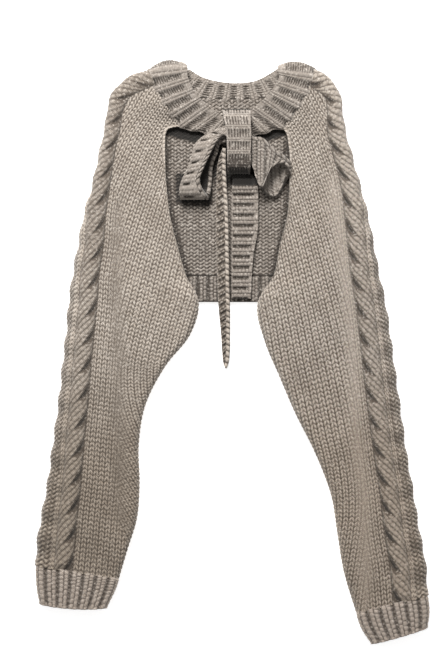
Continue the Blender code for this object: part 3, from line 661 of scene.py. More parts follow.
def cableRelief(arm, along, cloth):
    # A rope of two strands: a crown, cut by bent and slanted grooves that open out by the
    # arm's inner side, with columns of long stitches along each strand.
    half, pitch = sleeves["cableHalf"], sleeves["cablePitch"]
    c = (cloth - arm.course(along)["cable"]) / half
    bend = (1 - sleeves["cableBend"]) * c + sleeves["cableBend"] * c ** 3
    q = along / pitch - 0.5 * bend
    q = q + sleeves["cableWander"] * uneven(c, q * 3)
    crown = np.sqrt(np.clip(1 - c * c, 0, 1))
    inner = ease((c + 0.4) / 1.1)
    narrow, wider = sleeves["grooveWidth"]
    groove = ease(beads(q) / (narrow + wider * inner))
    floor = 1 - sleeves["grooveDepth"] * inner
    whole = floor + (1 - floor) * groove
    notch = (1 - groove) * inner
    run = np.array([half, pitch / 2])
    run /= np.linalg.norm(run)
    strandRow = (c * half * run[0] + along * run[1]) / sleeves["cableRow"]
    column = sleeves["strandColumns"] * q
    turn = strandRow + 0.5 * np.floor(column) + 0.2 * uneven(column, strandRow)
    stitch = beads(column, 0.6) * beads(turn, 0.25)
    # the rope sinks into the ribs at the cuff and flattens at the neckband
    fromEnd, over, share = sleeves["cableEnd"]
    flat = ease(along / sleeves["cableStart"])
    flat = flat * (1 - share * ease((along - arm.knots[-1] + fromEnd) / over))
    height = sleeves["cableHeight"] * crown * whole * flat
    gapTone, stitchTone = sleeves["cableTone"]
    # painted shade: darker at the rope's sides, in the grooves' open ends, and by cable tones
    shade = (gapTone + stitchTone * stitch) * whole * (0.5 + 0.5 * crown)
    shade = shade - sleeves["notchTone"] * notch * crown ** 0.5
    tone = np.interp(arm.course(along)["outer"][..., 1], sleeves["levels"], arm.knit["cableTones"])
    # each strand bulges out by the fold
    bulge = scallopOf(along) * (1 - ease(c + 1))
    return height + sleeves["strandHeight"] * stitch * crown ** 0.5 + bulge, shade * tone


def rowsOf(start, end):
    # places of the rows of points, in a whole number of the hidden side's longer steps
    every = sleeves["innerEvery"]
    return np.linspace(start, end, every * round((end - start) / sleeves["rowStep"] / every) + 1)


def makeSleeve(node, arm, material):
    under = rowsOf(0, arm.underarm)
    over = rowsOf(arm.underarm + sleeves["underarmStep"], arm.knots[-1])
    along = np.concatenate([under, over])
    course = arm.course(along)
    front, back = arm.ends(along)
    cableIn = course["cable"] + sleeves["cableHalf"]
    cableOut = course["cable"] - sleeves["cableHalf"]
    turn = np.full(along.shape, quarterFold)
    # a wider rolled strip where the front layer's edge nears the band
    rollFrom, rollOver = sleeves["rollLevel"]
    innerY = course["outer"][:, 1] + course["direction"][:, 1] * course["width"]
    top = ease((innerY - rollFrom) / rollOver)
    strip = sleeves["edgeStrip"] + sleeves["edgeRoll"] * top * (1 - arm.closed(along))
    limit = front - strip
    width = np.interp(course["outer"][:, 1], sleeves["levels"], sleeves["columnWidths"])
    # columns up to the crease follow the cable, and those past it the lean of the knitting
    fromCloth = halfHeight - quarterFold
    crease = np.interp(along, arm.creaseAlong, arm.creaseAcross) - fromCloth
    crease = np.clip(crease, cableIn + 1, limit - 1)
    ends = np.stack([crease, limit], axis=1) + fromCloth
    span = arm.stitchPlace(course, ends)[0]
    perColumn = sleeves["pointsPerColumn"]
    besideColumns = np.arange(perColumn * int(((crease - cableIn) / width).max() + 2)) / perColumn
    columns = np.arange(perColumn * int(span.min() - 1),
                        perColumn * int(span.max() + 2)) / perColumn
    beside = cableIn[:, None] + besideColumns[None] * width[:, None]
    knit = arm.columnsAcross(course, columns, ends.mean(axis=1)) - fromCloth
    knit = np.concatenate([crease[:, None], knit], axis=1)
    close = sleeves["columnEnd"]
    besideOut = beside >= crease[:, None] - close
    notYet, ranOut = knit <= crease[:, None] + close, knit >= limit[:, None] - close
    counts = sleeves["points"]
    parts = {
        "backCurl": stretch(back, back + quarterFold, counts["backCurl"]),
        "back": stretch(back + quarterFold, -turn, counts["back"]),
        "fold": stretch(-turn, cableOut, counts["fold"]),
        "cable": stretch(cableOut, cableIn, counts["cable"]),
        "beside": np.minimum(beside, crease[:, None]),
        "knit": np.clip(knit, crease[:, None], limit[:, None]),
        "edge": np.concatenate([stretch(limit, front, counts["edge"]), front[:, None]], axis=1),
    }
    cloth = np.concatenate(list(parts.values()), axis=1)
    stops = np.cumsum([0] + [part.shape[1] for part in parts.values()])
    spans = {part: slice(a, b) for part, a, b in zip(parts, stops[:-1], stops[1:])}
    grid = np.repeat(along[:, None], cloth.shape[1], axis=1)
    base = arm.surface(grid, cloth, np.zeros(cloth.shape))

    # rows of stitches: distance along each column over the height of a stitch there
    steps = np.linalg.norm(np.diff(base, axis=0), axis=2)
    level = (base[1:, :, 1] + base[:-1, :, 1]) / 2
    tall = np.interp(level, sleeves["levels"], sleeves["rowHeights"])
    row = np.concatenate([np.zeros((1, cloth.shape[1])), np.cumsum(steps / tall, axis=0)])

    raised = np.zeros(cloth.shape)
    shade = np.full(cloth.shape, plainRelief)
    stitchX = cloth / sleeves["backColumn"]

    span = spans["fold"]
    c, r = cloth[:, span], row[:, span]
    # over the fold a ladder of purl rungs, then a knit column beside the cable
    fold, single = sleeves["ladderStart"], sleeves["besideCable"]
    ladder = np.clip((c - fold) / (cableOut[:, None] - single - fold), 0, 1)
    inLadder = (ladder > 0) & (ladder < 1)
    column = np.where(c < fold, (c - fold) / sleeves["foldColumn"],
                      (c - cableOut[:, None]) / single)
    rung = purlStitches(2 * ladder, r, 0.7) * (0.8 + 0.2 * uneven(r * 1.9, ladder * 2))
    stitch = np.where(inLadder, rung, knitStitches(column, r)) * ease((c + quarterFold) / 6)
    sunk = sleeves["ladderDepth"] * beads(ladder, 0.8) * (1 - rung)
    raised[:, span] = (sleeves["stitchHeight"] * stitch - sunk
                       + scallopOf(grid[:, span]) * ease((c + 8) / 8))
    rungTone, gapTone = sleeves["ladderTones"]
    shade[:, span] = np.where(inLadder, rungTone * rung + gapTone, stitch)

    span = spans["cable"]
    raised[:, span], shade[:, span] = cableRelief(arm, grid[:, span], cloth[:, span])

    # plain columns, and how they fade in the crease between them
    span = spans["beside"]
    # lower and darker right by the cable: painted shade at its foot
    byCable = 0.2 + 0.8 * ease(besideColumns / 0.4)
    stitchX[:, span] = besideColumns[None]
    shade[:, span] = knitStitches(stitchX[:, span], row[:, span]) * byCable
    span = spans["knit"]
    stitchX[:, span], row[:, span] = arm.stitchPlace(course, cloth[:, span] + fromCloth)
    shade[:, span] = knitStitches(stitchX[:, span], row[:, span])
    span = slice(spans["beside"].start, spans["knit"].stop)
    blur = sleeves["creaseBlur"] * arm.inCrease(cloth[:, span] + fromCloth, grid[:, span])
    raised[:, span] = sleeves["stitchHeight"] * shade[:, span] * (1 - blur)
    # the stitches fade to the crease tone: painted shade in a hollow, painted light on a ridge
    shade[:, span] = shade[:, span] * (1 - blur) + arm.knit["creaseTone"] * blur

    span = spans["edge"]
    share = (cloth[:, span] - limit[:, None]) / strip[:, None]
    loose = 1 - arm.closed(grid[:, span])
    roll = beads(share) * beads(row[:, span], 0.6)
    raised[:, span] = sleeves["rollHeight"] * roll + sleeves["looseLift"] * loose
    shade[:, span] = sleeves["rollTone"] + (1 - sleeves["rollTone"]) * roll

    # columns that stop at the crease or at the edge end in one point a course there
    number = np.arange(cloth.size).reshape(cloth.shape)
    beside, knit = spans["beside"], spans["knit"]
    atCrease, atEdge = number[:, knit.start][:, None], number[:, knit.stop][:, None]
    number[:, beside] = np.where(besideOut, atCrease, number[:, beside])
    number[:, knit] = np.where(notYet, atCrease, np.where(ranOut, atEdge, number[:, knit]))
    # the cut of each cell follows the leg of the stitch that it is in
    lean = np.ones(cloth.shape[1] - 1, bool)
    lean[beside] = (besideColumns % 1) < 0.5
    lean[knit.start + 1:knit.stop] = (columns % 1) < 0.5
    outer = {"points": arm.surface(grid, cloth, raised), "along": along,
             "across": cloth[0] / front[0], "relief": shade,
             "stitch": np.stack([stitchX, row], axis=-1), "number": number, "lean": lean}
    every = sleeves["innerEvery"]
    inner = plainInside(arm, np.concatenate([under[::every], over[::every]]))
    layTube(node, arm, along, outer, inner, material, ["start", "end"])


leftArm = Arm(sleeves["left"], -1, sleeves["leftArmhole"], sleeves["leftKnit"])
rightArm = Arm(sleeves["right"], 1, sleeves["rightArmhole"], sleeves["rightKnit"])


# Cuffs

cuffs = {
    "ribPitch": 13.5,
    "look": {"knitShare": 0.75, "ribHeight": 2.2, "stitchHeight": 1.3, "rungTone": 0.5,
             "beads": 0.5, "contrast": 1.0},
    "pointsPerRib": 18,
    "rowHeight": 6.0,
    "rowStep": 1.1,
    "lap": 1.8,  # how far its top lies over the sleeve's last row
    "castOff": 5.0,  # the chain at its mouth: a stitch, and how wide it is
    "castOffHeight": 0.8,
    "castOffTone": 0.7,
    "innerEvery": 4,
    "backShares": (0.05, 0.1, 0.15, 0.4, 0.7, 0.87, 0.93, 1.0),
    "left": [(-244, -506, -161, -511, 40, 3), (-248, -487, -151, -491, 40, 0),
             (-250, -454.4, -143.8, -471.4, 40, 0)],
    "right": [(256, -537, 187, -557, 38, 1), (259, -516, 173.5, -537, 38, 0),
              (257, -493.4, 165.9, -515.4, 38, 0)],
}


def makeCuff(node, table, side):
    arm = Arm(table, side)
    every = cuffs["innerEvery"]
    steps = every * round(arm.knots[-1] / cuffs["rowStep"] / every)
    along = np.linspace(0, arm.knots[-1], steps + 1)
    front = arm.ends(along)[0]
    ribs = round(float(front[0]) / cuffs["ribPitch"])
    share = np.arange(ribs * cuffs["pointsPerRib"] + 1) / (ribs * cuffs["pointsPerRib"])
    shares = np.concatenate([-np.array(cuffs["backShares"])[::-1], share])
    cloth = front[:, None] * shares[None]
    grid = np.repeat(along[:, None], cloth.shape[1], axis=1)
    rib = np.broadcast_to(np.clip(shares, 0, 1) * ribs, cloth.shape)
    row = grid / cuffs["rowHeight"]
    raised, relief = ribStitches(rib, row, cuffs["look"])
    onFront = (shares >= 0)[None]
    chain = ease(1 - along / cuffs["castOff"])[:, None] * beads(cloth / cuffs["castOff"])
    raised = raised * (0.5 + 0.5 * ease((along[-1] - along) / cuffs["lap"] / 3))[:, None]
    raised = onFront * (raised + cuffs["castOffHeight"] * chain)
    tone = cuffs["castOffTone"] * chain
    outer = {"points": arm.surface(grid, cloth, raised), "along": along, "across": shares,
             "relief": np.where(onFront, np.maximum(relief, tone), plainRelief),
             "stitch": np.stack([rib * 2, row], axis=-1)}
    layTube(node, arm, along, outer, plainInside(arm, along[::every]), cuffYarn, ["end"])


# Back panel and hem, which lie on the surface between the armhole seams

backPanel = {
    "hemBottom": -113.0,
    "hemSeam": -79.0,
    "hemLap": 0.8,  # how far the panel lies over the hem
    "seamGap": 0.3,
    "armholeTop": 163.0,
    "neckMiddle": (4.5, 151.0),  # the panel's top is a parabola: its lowest point
    "neckRise": 11.0,
    "neckReach": 90.0,
    "height": 241.0,
    "width": 196.0,
    "purlWave": 8.2,  # one zigzag of the reverse side
    "purlRow": 4.8,
    "pointsPerWave": 8,
    "pointsPerRow": 5,
    "purlHeight": 1.7,
    "purlTones": (1.2, -0.18),  # of the bumps, and of the gaps, painted shade
    "seamReach": 2.5,  # how far the stitches fade by a seam
    "seamHalf": 1.3,  # the dark line of the seam's own stitches
    "seamTone": 1.1,
    # painted deep shadow on the yarn below these lines: from x, y to x, y, how far below, how deep
    "deepShade": [(-78, 117, -38, 106, 16, 2.4), (38, 106, 75, 118, 16, 2.4),
                  (-66, 25, -25, 23, 14, 1.2), (-26, 92, -10, 92, 62, 1.3),
                  (-4, 60, 34, 60, 30, 1.4), (60, 42, 80, 62, 14, 0.7)],
    "shadeStart": 30.0,  # how far above its line each shade starts
    # where the sleeves' edges lie over the panel: y, left x, right x
    "sleeveEdges": [(-79, -55, 58), (1, -77, 76), (46, -82, 79), (96, -83, 77)],
    "edgeShade": (9.0, 0.8),  # painted shade by them: how far from them, how deep
    "hemWall": 3.2,
    "hemRibPitch": 13.5,
    "hemLook": {"knitShare": 0.68, "ribHeight": 1.5, "stitchHeight": 1.3, "rungTone": 0.5,
                "beads": 0.6, "contrast": 1.0},
    "hemRow": 4.8,
    "hemTone": -0.2,
    "hemPoints": (32, 250),
    "plainPoints": 9,  # each way, on the side that lies on the surface
}


def backNeckY(x):
    # the height of the panel's top on the garment
    middleX, middleY = backPanel["neckMiddle"]
    return middleY + backPanel["neckRise"] * ((x - middleX) / backPanel["neckReach"]) ** 2


def flatGrid(bottom, top, level, across):
    # a ruled grid: the sides on the armhole seams, the top on a line or a curve
    sideTop = top
    if callable(top):
        sideTop = float(top(leftArm.armholeX(np.array(backPanel["armholeTop"]))))
    y = bottom + level * (sideTop - bottom)
    x0 = leftArm.armholeX(y) + backPanel["seamGap"]
    x1 = rightArm.armholeX(y) - backPanel["seamGap"]
    x = x0[:, None] + (x1 - x0)[:, None] * across[None]
    head = top(x) if callable(top) else top + 0 * x
    return x, bottom + level[:, None] * (head - bottom)


def makeFlatPiece(node, bottom, top, wall, counts, pattern):
    level, across = (np.linspace(0, 1, count) for count in counts)
    x, y = flatGrid(bottom, top, level, across)
    raised, relief, stitch = pattern(x, y)
    outer = {"points": np.stack([x, y, wall + raised], axis=-1), "along": level, "across": across,
             "relief": relief, "stitch": stitch}
    few = [np.linspace(0, 1, backPanel["plainPoints"])] * 2
    x, y = flatGrid(bottom, top, *few)
    inner = {"points": np.stack([x, y, 0 * x], axis=-1), "along": few[0], "across": few[1]}
    piece = closedCloth(node, outer, inner, insideYarn, ["start", "end"])
    layOn(piece, node)


def purlPattern(x, y):
    # reverse stockinette, with a line of sewing stitches by the hem, and painted shade from
    # inShade
    column = x / backPanel["purlWave"]
    above = y - backPanel["hemSeam"]
    row = above / backPanel["purlRow"]
    bump = purlStitches(column, row)
    seam = ease(above / backPanel["seamReach"])
    sewing = (np.exp(-(above / backPanel["seamHalf"]) ** 2)
              * (0.4 + 0.6 * wave(column)) * backPanel["seamTone"])
    bumpTone, gapTone = backPanel["purlTones"]
    relief = bump * bumpTone * (0.3 + 0.7 * seam) + gapTone - inShade(x, y) - sewing
    return backPanel["purlHeight"] * bump * seam, relief, np.stack([column, row], axis=-1)


def inShade(x, y):
    # how deep the painted shade is at each point: under the band and the bow, and by the sleeves'
    # edges
    shade = np.zeros_like(x)
    for x0, y0, x1, y1, reach, depth in backPanel["deepShade"]:
        share = (x - x0) / (x1 - x0)
        below = y0 + np.clip(share, 0, 1) * (y1 - y0) - y
        inside = ease(1 - (np.abs(share - 0.5) - 0.5) * 6) * (below > -backPanel["shadeStart"])
        shade = np.maximum(shade, depth * inside * ease(2 * (1 - below / reach)))
    level, left, right = np.array(backPanel["sleeveEdges"], float).T
    beside = np.minimum(x - np.interp(y, level, left), np.interp(y, level, right) - x)
    reach, depth = backPanel["edgeShade"]
    return np.maximum(shade, depth * ease(1 - beside / reach))


def hemPattern(x, y):
    # ribs up and down, flatter by both edges
    rib = x / backPanel["hemRibPitch"]
    above, below = y - backPanel["hemBottom"], backPanel["hemSeam"] - y
    row = above / backPanel["hemRow"]
    raised, relief = ribStitches(rib, row, backPanel["hemLook"])
    edges = ease(above / backPanel["seamReach"]) * ease(below / backPanel["seamReach"])
    relief = (relief + backPanel["hemTone"]) * (0.4 + 0.6 * edges)
    return raised * (0.3 + 0.7 * edges), relief, np.stack([rib * 2, row], axis=-1)


# Strips: the neckband and the bow

strips = {
    "pointsPerRib": 16,
    "acrossStep": 0.8,
    "chainWidth": 5.5,  # the cast-off edge, a chain of bright stitches
    "chainHeight": 2.4,
    "chainPitch": 7.6,
    "chainLean": 0.35,
    "chainLift": 0.6,
    "chainGap": -0.1,  # the tone between its stitches, painted shade
    "edgeSpot": (3.0, 1.8),  # painted shade, a dark spot at a gutter's start: how far in, how wide
    "thinSeam": 4.0,  # how far in from the seam the stitches are thinner
    "swellReach": 10.0,
    # how dark the painted deep shadow is over a shaded start, and over a shaded end
    "startDark": 2.2,
    "endDark": 1.4,
    "underShare": 0.2,  # how thick stitches are on a face that is lain on
    # For each strip: sizes of ribs and rows; the share of knit columns, heights and tones
    # for ribStitches; how far in from its two long edges the gutters fade; the gutters'
    # slant; how far the ribs are shifted along; how dark the spots of painted shade at the
    # gutters' starts are; how far the first edge swells out at each rib; which rims are sewn;
    # which long edges are a chain; which face is inside a loop and how much painted shade it
    # has, painted light where below 0; and how much of the start and of the end is in painted
    # deep shadow.
    "usual": {"row": 4.4, "contrast": 1.0, "slant": 0, "shift": 0, "spots": 0, "scallop": 0,
              "sewn": [], "chain": (False, False), "inside": (0, 0), "shaded": (1, 1)},
    "band": {"pitch": 16.5, "row": 3.1, "knitShare": 0.52, "ribHeight": 1.7, "stitchHeight": 1.2,
             "rungTone": 0.85, "beads": 0.35, "contrast": 0.85, "fade": (1, 12), "spots": 0.8,
             "scallop": 3.0, "sewn": ["first"]},
    "knot": {"pitch": 17.0, "row": 3.6, "knitShare": 0.38, "ribHeight": 1.6, "stitchHeight": 1.2,
             "rungTone": 1.0, "beads": 0.3, "fade": (3, 3), "shift": 8, "sewn": ["start"],
             "shaded": (3, 34)},
    "leftLoop": {"pitch": 15.0, "knitShare": 0.76, "ribHeight": 2.2, "stitchHeight": 0.8,
                 "rungTone": 0.1, "beads": 0.4, "contrast": 0.5, "fade": (8, 26),
                 "chain": (False, True), "inside": (1, 2.4)},
    "rightLoop": {"pitch": 13.5, "knitShare": 0.74, "ribHeight": 1.3, "stitchHeight": 1.2,
                  "rungTone": 0.6, "beads": 0.7, "fade": (6, 6), "chain": (True, True),
                  "inside": (-1, -0.3)},
    "rightTail": {"pitch": 13.5, "knitShare": 0.72, "ribHeight": 1.7, "stitchHeight": 1.2,
                  "rungTone": 0.35, "beads": 0.5, "fade": (2, 7), "shaded": (18, 1)},
    "leftTail": {"pitch": 10.6, "knitShare": 0.7, "ribHeight": 1.2, "stitchHeight": 1.0,
                 "rungTone": 0.3, "beads": 0.5, "contrast": 0.8, "fade": (3, 3), "slant": 9,
                 "chain": (False, True), "inside": (1, 0.5)},
}


def stripForm(table, pitch, perRib, acrossSteps):
    # The strip's middle sheet and its upward normal, on a grid along and across. A row of
    # its table is the two long edges' x, y, z and, for a bowed one, how far its middle bows.
    rows = np.array(table, float)
    if rows.shape[1] == 6:
        rows = np.concatenate([rows, np.zeros((len(rows), 3))], axis=1)
    knots = knotsOf((rows[:, 0:3] + rows[:, 3:6]) / 2, [0, 1, 2])
    ribs = round(knots[-1] / pitch)
    along = np.linspace(0, knots[-1], ribs * perRib + 1)
    row = readRows(rows, knots, along)
    across = np.linspace(0, 1, acrossSteps + 1)
    c = across[None, :, None]
    points = (row[:, None, 0:3] * (1 - c) + row[:, None, 3:6] * c
              + row[:, None, 6:9] * 4 * c * (1 - c))
    normal = np.cross(np.gradient(points, axis=0), np.gradient(points, axis=1))
    normal /= np.linalg.norm(normal, axis=2, keepdims=True)
    width = np.linalg.norm(row[:, 3:6] - row[:, 0:3], axis=1)
    return {"points": points, "normal": normal, "along": along, "across": across, "ribs": ribs,
            "width": width, "length": float(knots[-1])}


def makeStrip(node, table, lookName, wall=clothWall, material=ribYarn,
              lainOn=False):
    # ribs run across the strip on both faces, each face moved out by half the wall
    look = {**strips["usual"], **strips[lookName]}
    middle = np.array(table, float)
    widest = np.linalg.norm(middle[:, 3:6] - middle[:, 0:3], axis=1).max()
    steps = round(widest / strips["acrossStep"])
    form = stripForm(table, look["pitch"], strips["pointsPerRib"], steps)
    along, across, width = form["along"], form["across"], form["width"]
    rib = along[:, None] + look["slant"] * (across[None] - 0.5) + look["shift"]
    rib = rib / (form["length"] / form["ribs"])
    cross = width[:, None] * across[None]
    edges = (cross, width[:, None] - cross)
    row = cross / look["row"]
    deep = np.ones(cross.shape)
    for edge, fade in zip(edges, look["fade"]):
        deep = deep * ease(2 * edge / (fade * width / widest)[:, None] - 1)
    raised, relief = ribStitches(rib, row, look, deep)
    # painted shade, a dark spot where each gutter starts by the seam, and a thinner seam
    spotPlace, spotHalf = strips["edgeSpot"]
    spot = np.exp(-((edges[0] - spotPlace) / spotHalf) ** 2) * np.cos(math.pi * rib) ** 6
    relief = relief - look["spots"] * spot
    raised = raised * (1 - look["spots"] * (1 - ease(edges[0] / strips["thinSeam"])))
    # painted deep shadow over the shaded start and end
    shadedStart, shadedEnd = look["shaded"]
    dark = np.maximum(strips["startDark"] * ease(3 * (1 - along / shadedStart)),
                      strips["endDark"] * ease(1 - (along[-1] - along) / shadedEnd))
    relief = relief - dark[:, None]
    chained = np.zeros(cross.shape, bool)
    # chain stitches: a row of beads along an edge
    for edge, hasChain in zip(edges, look["chain"]):
        if hasChain:
            place = np.clip(edge / strips["chainWidth"], 0, 1)
            turn = along[:, None] / strips["chainPitch"] + strips["chainLean"] * place
            bead = np.sqrt(np.clip(1 - (2 * place - 1) ** 2, 0, 1)) * beads(turn, 0.6)
            lift = strips["chainLift"] + strips["chainHeight"] * bead
            raised = np.where(place < 1, lift, raised)
            relief = np.where(place < 1, bead + strips["chainGap"], relief)
            chained |= place < 1
    # the edge by the seam swells out at each rib
    towardsEdge = form["points"][:, :1] - form["points"][:, -1:]
    towardsEdge /= np.linalg.norm(towardsEdge, axis=2, keepdims=True)
    swell = look["scallop"] * (1 - wave(rib)) * ease(1 - edges[0] / strips["swellReach"])
    middle = form["points"] + towardsEdge * swell[..., None]
    insideFace, insideDark = look["inside"]
    sides = []
    for sign in (1, -1):
        lift = raised * strips["underShare"] if lainOn and sign < 0 else raised
        points = middle + sign * form["normal"] * (wall / 2 + lift)[..., None]
        points[..., 2] = np.maximum(points[..., 2], 0)
        # painted shade on the face inside a loop, painted light where it is set below 0
        shown = relief - insideDark * (sign == insideFace) * ~chained
        sides.append({"points": points, "along": along, "across": across, "relief": shown,
                      "stitch": np.stack([rib * 2, row], axis=-1)})
    piece = closedCloth(node, sides[0], sides[1], material, look["sewn"])
    layOn(piece, node)


neckband = {
    "lap": 1.5,  # how far its edge lies over the pieces that it is sewn to
    # share of the sleeve's end, then the neck edge
    "leftFront": [(1.00, -21, 138, 9.0), (0.83, -31, 146, 10.5), (0.60, -43, 157, 12.3),
                  (0.41, -50, 170, 14.2), (0.22, -54, 183, 15.2)],
    "rightFront": [(1.00, 32.5, 140, 9.0), (0.83, 42, 148, 10.5), (0.60, 53, 159, 12.3),
                   (0.41, 61, 170, 14.2), (0.22, 65, 182, 15.2)],
    # two edges of the free ends, from the knot
    "leftEnd": [(8, 99.5, 6.5, 10, 119.5, 6.5), (-9, 101, 6.5, 3, 121, 6.5),
                (-27, 105, 6.8, -6.5, 126, 7.2), (-42, 110.5, 7.0, -13, 132, 8.2)],
    "rightEnd": [(12.5, 100, 6.5, 14.5, 120, 6.5), (30, 103, 6.5, 19, 122, 6.5),
                 (43, 107, 6.8, 23, 129, 7.0), (57, 111.5, 7.0, 27, 135, 7.8)],
    # along the back: seam_x, neck_x, neck_y
    "back": [(-79, -45, 186.3), (-64, -38, 182), (-28.6, -18, 175.5), (8, 9, 172.5),
             (43, 34, 175.5), (74, 51, 183.5), (89, 57.5, 187.5)],
    # over each shoulder: its peak, its back corner at the neck, and how far it is crowned
    "leftShoulder": ((-57, 194), (-48, 188), 10.0),
    "rightShoulder": ((66, 193), (60, 189), 7.5),
    "angles": (80, 40, 0, -40, -80),  # round the shoulder's fold
}


def shoulderRows(arm, frontBand, shoulder):
    # the band's rows from a front, over the shoulder fold, to its back corner
    peak, corner, crown = shoulder
    top = arm.knots[-1:]
    course = arm.course(top)
    direction = course["direction"][0]
    towardsNeck = -arm.side * np.array([-direction[1], direction[0]])
    lapped = np.append(-towardsNeck * neckband["lap"], 0)
    front, back = arm.ends(top)

    def sleeveEnd(cloth):
        return arm.surface(top, np.array([cloth]), np.array([-clothWall / 2]))[0] + lapped

    rows = []
    for share, x, y, z in frontBand:
        rows.append((*sleeveEnd(share * float(front[0])), x, y, z, 0, 0, 0))
    radius = halfHeight - clothWall / 2
    for angle in neckband["angles"]:
        turn = math.radians(angle)
        neck = np.array(peak) + direction * (halfHeight - radius * math.cos(turn))
        height = halfHeight + radius * math.sin(turn)
        bowed = (0, crown * math.cos(turn) ** 2, 0)
        rows.append((*sleeveEnd(halfHeight * turn), *neck, height, *bowed))
    rows.append((*sleeveEnd(float(back[0])), *corner, clothWall / 2, 0, 0, 0))
    return rows


def neckbandRows():
    # from the knot over the left shoulder, along the back neck and down the right to the knot
    left, right = ([row + (0, 0, 0) for row in neckband[side + "End"]]
                   + shoulderRows(arm, neckband[side + "Front"], neckband[side + "Shoulder"])
                   for side, arm in (("left", leftArm), ("right", rightArm)))
    z = clothWall / 2
    back = [(x, float(backNeckY(x)) - neckband["lap"], z, neckX, neckY, z, 0, 0, 0)
            for x, neckX, neckY in neckband["back"]]
    return left + back + right[::-1]


# The bow. A loop's row gives its two long edges, x, y and z each, halfway through the wall.
# The knot and the tails lie level across: a row is both edges' x, then y and z.
bow = {
    "leftTailWall": 7.0,  # two layers, folded lengthwise
    "knot": [(-8, 28, 134.5, 6.7), (-7.5, 28, 131, 13.5), (-7, 28, 126, 20.5),
             (-5.5, 28, 119, 25), (-4, 28.5, 110, 26.3), (-3, 28.5, 95, 26.4), (-2.5, 28, 80, 26),
             (-2.5, 28, 68, 24), (-2, 27.5, 59, 19.5), (-1.5, 27, 56, 15.5), (-1, 27, 59, 12.5)],
    "leftLoop": [(1.3, 118, 12.6, 2.6, 95, 12.6), (-22, 105, 12.6, -12, 91, 12.6),
                 (-40, 87, 10.5, -14, 82, 10.5), (-49, 65, 8.0, -20.5, 65, 8.0),
                 (-58, 43, 7.0, -22, 45, 7.0), (-63, 30, 8.6, -23.5, 32, 8.6),
                 (-63, 24, 14, -26, 24, 14), (-64.5, 30, 19.5, -33, 31, 19.5),
                 (-63, 40, 21.5, -37.5, 43, 21.5), (-56, 56, 23, -32, 61, 23),
                 (-49, 73, 24, -24, 78, 24), (-44, 90, 23.5, -16, 93, 23.5),
                 (-31, 102, 20.8, -9, 100, 20.8), (-1.3, 117, 19, 1.3, 98, 19)],
    "rightLoop": [(18, 118, 12.6, 19.5, 94, 12.6), (33, 98, 11.8, 35, 59, 11.8),
                  (44, 87, 8.8, 46, 30, 8.8), (57, 74, 7.1, 62, 25, 7.1),
                  (69, 66, 8.6, 72, 41, 8.6), (76.5, 69, 15, 76, 55, 15), (70, 77, 21, 68, 66, 21),
                  (57, 86, 23.6, 52, 56, 23.6), (45, 98, 24, 44, 35, 24),
                  (33, 101, 20, 33.5, 56, 19), (15.6, 117, 19, 17, 96, 19)],
    "rightTail": [(6, 30, 53, 6.6), (5, 34, 47, 7.0), (4.5, 36, 41.5, 9.2), (4, 37.5, 36.5, 9.4),
                  (3.8, 38, 28, 7.2), (3.5, 38, 13, 6.6), (3.5, 37.5, -20, 6.6),
                  (3.5, 32.5, -48, 6.6), (3.5, 30, -75, 6.6), (3.5, 28.5, -109, 6.6)],
    "leftTail": [(-8.5, -3.8, 87, 8.9), (-12, -3.8, 77, 8.6), (-15, -3.8, 65, 8.3),
                 (-16.3, -3.2, 45, 8.3), (-17, -1.5, 19, 8.3), (-16.5, 0, -45, 8.3),
                 (-14.5, 1, -105, 8.3), (-13.5, 1.5, -122, 8.0), (-12, 1.5, -138, 4.9),
                 (-10.5, 1.5, -155, 3.5), (-9, 1.2, -178, 3.5), (-7, -0.8, -194, 3.5),
                 (-4.8, -2.8, -199.5, 3.5)],
}


def levelRows(rows):
    # both edges of each row, for a strip that lies level across
    return [(x0, y, z, x1, y, z) for x0, x1, y, z in rows]


panelPoints = (round(backPanel["height"] / backPanel["purlRow"] * backPanel["pointsPerRow"]),
               round(backPanel["width"] / backPanel["purlWave"] * backPanel["pointsPerWave"]))
makeFlatPiece("back_panel", backPanel["hemSeam"] - backPanel["hemLap"], backNeckY, clothWall,
              panelPoints, purlPattern)
makeFlatPiece("back_hem", backPanel["hemBottom"], backPanel["hemSeam"], backPanel["hemWall"],
              backPanel["hemPoints"], hemPattern)
makeSleeve("left_sleeve", leftArm, leftYarn)
makeSleeve("right_sleeve", rightArm, rightYarn)
makeCuff("left_cuff", cuffs["left"], -1)
makeCuff("right_cuff", cuffs["right"], 1)
makeStrip("neckband", neckbandRows(), "band")
makeStrip("tie_knot", levelRows(bow["knot"]), "knot")
makeStrip("left_loop", bow["leftLoop"], "leftLoop")
makeStrip("right_loop", bow["rightLoop"], "rightLoop")
makeStrip("right_tail", levelRows(bow["rightTail"]), "rightTail", lainOn=True)
makeStrip("left_tail", levelRows(bow["leftTail"]), "leftTail",
          bow["leftTailWall"], leftYarn, lainOn=True)


# Floor, light and camera

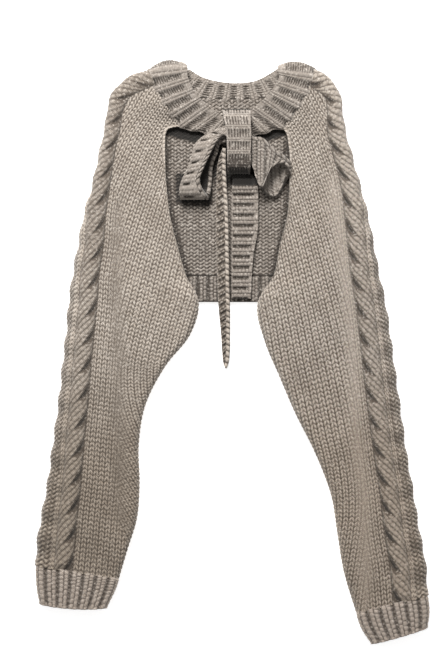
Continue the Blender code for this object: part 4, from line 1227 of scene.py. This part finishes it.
studio = {
    "floorTone": (0.96, 0.96, 0.96, 1),
    "floorSize": 6.0,
    "world": {"Color": (1, 1, 1, 1), "Strength": 0.4},
    # the floor is a light table, so that the shadows stay pale
    "floorFinish": {"Emission Strength": 0.7, "Roughness": 0.8, "Specular IOR Level": 0.1},
    "floorLevel": -0.0004,
    "keyPower": 106.0,
    "keySize": 0.8,
    "keyPlace": (-0.35, 1.65, 1.5),
    "middle": (-0.0065, -0.1573),  # what the photograph is centred on
    "cameraHeight": 2.2,
    "focusHeight": 0.012,  # where the photograph's scale is true
    "tall": 0.8736,  # the photograph's height there
    "sensor": 36.0,
}


def makeStudio():
    mesh = bpy.data.meshes.new("floor")
    half = studio["floorSize"] / 2
    corners = ((-half, -half), (half, -half), (half, half), (-half, half))
    mesh.from_pydata([(x, y, studio["floorLevel"]) for x, y in corners], [], [(0, 1, 2, 3)])
    material = bpy.data.materials.new("pale_floor")
    material.use_nodes = True
    shader = material.node_tree.nodes["Principled BSDF"]
    setInputs(shader, studio["floorFinish"])
    setInputs(shader, {"Base Color": studio["floorTone"], "Emission Color": studio["floorTone"]})
    mesh.materials.append(material)
    floor = bpy.data.objects.new("floor", mesh)
    bpy.context.scene.collection.objects.link(floor)

    world = bpy.data.worlds.new("studio")
    world.use_nodes = True
    setInputs(world.node_tree.nodes["Background"], studio["world"])
    bpy.context.scene.world = world

    light = bpy.data.lights.new("key", "AREA")
    light.energy = studio["keyPower"]
    light.size = studio["keySize"]
    key = bpy.data.objects.new("key", light)
    x, y, z = studio["keyPlace"]
    key.location = (x, y, z)
    towards = Vector((studio["middle"][0] - x, studio["middle"][1] - y, -z))
    key.rotation_euler = towards.to_track_quat("-Z", "Y").to_euler()
    bpy.context.scene.collection.objects.link(key)

    lens = bpy.data.cameras.new("camera")
    lens.sensor_width = studio["sensor"]
    lens.lens = studio["sensor"] * studio["cameraHeight"] / studio["tall"]
    camera = bpy.data.objects.new("camera", lens)
    camera.location = (*studio["middle"], studio["cameraHeight"] + studio["focusHeight"])
    bpy.context.scene.collection.objects.link(camera)
    bpy.context.scene.camera = camera
    bpy.context.scene.view_settings.view_transform = "Standard"
    print("studio ready")


makeStudio()
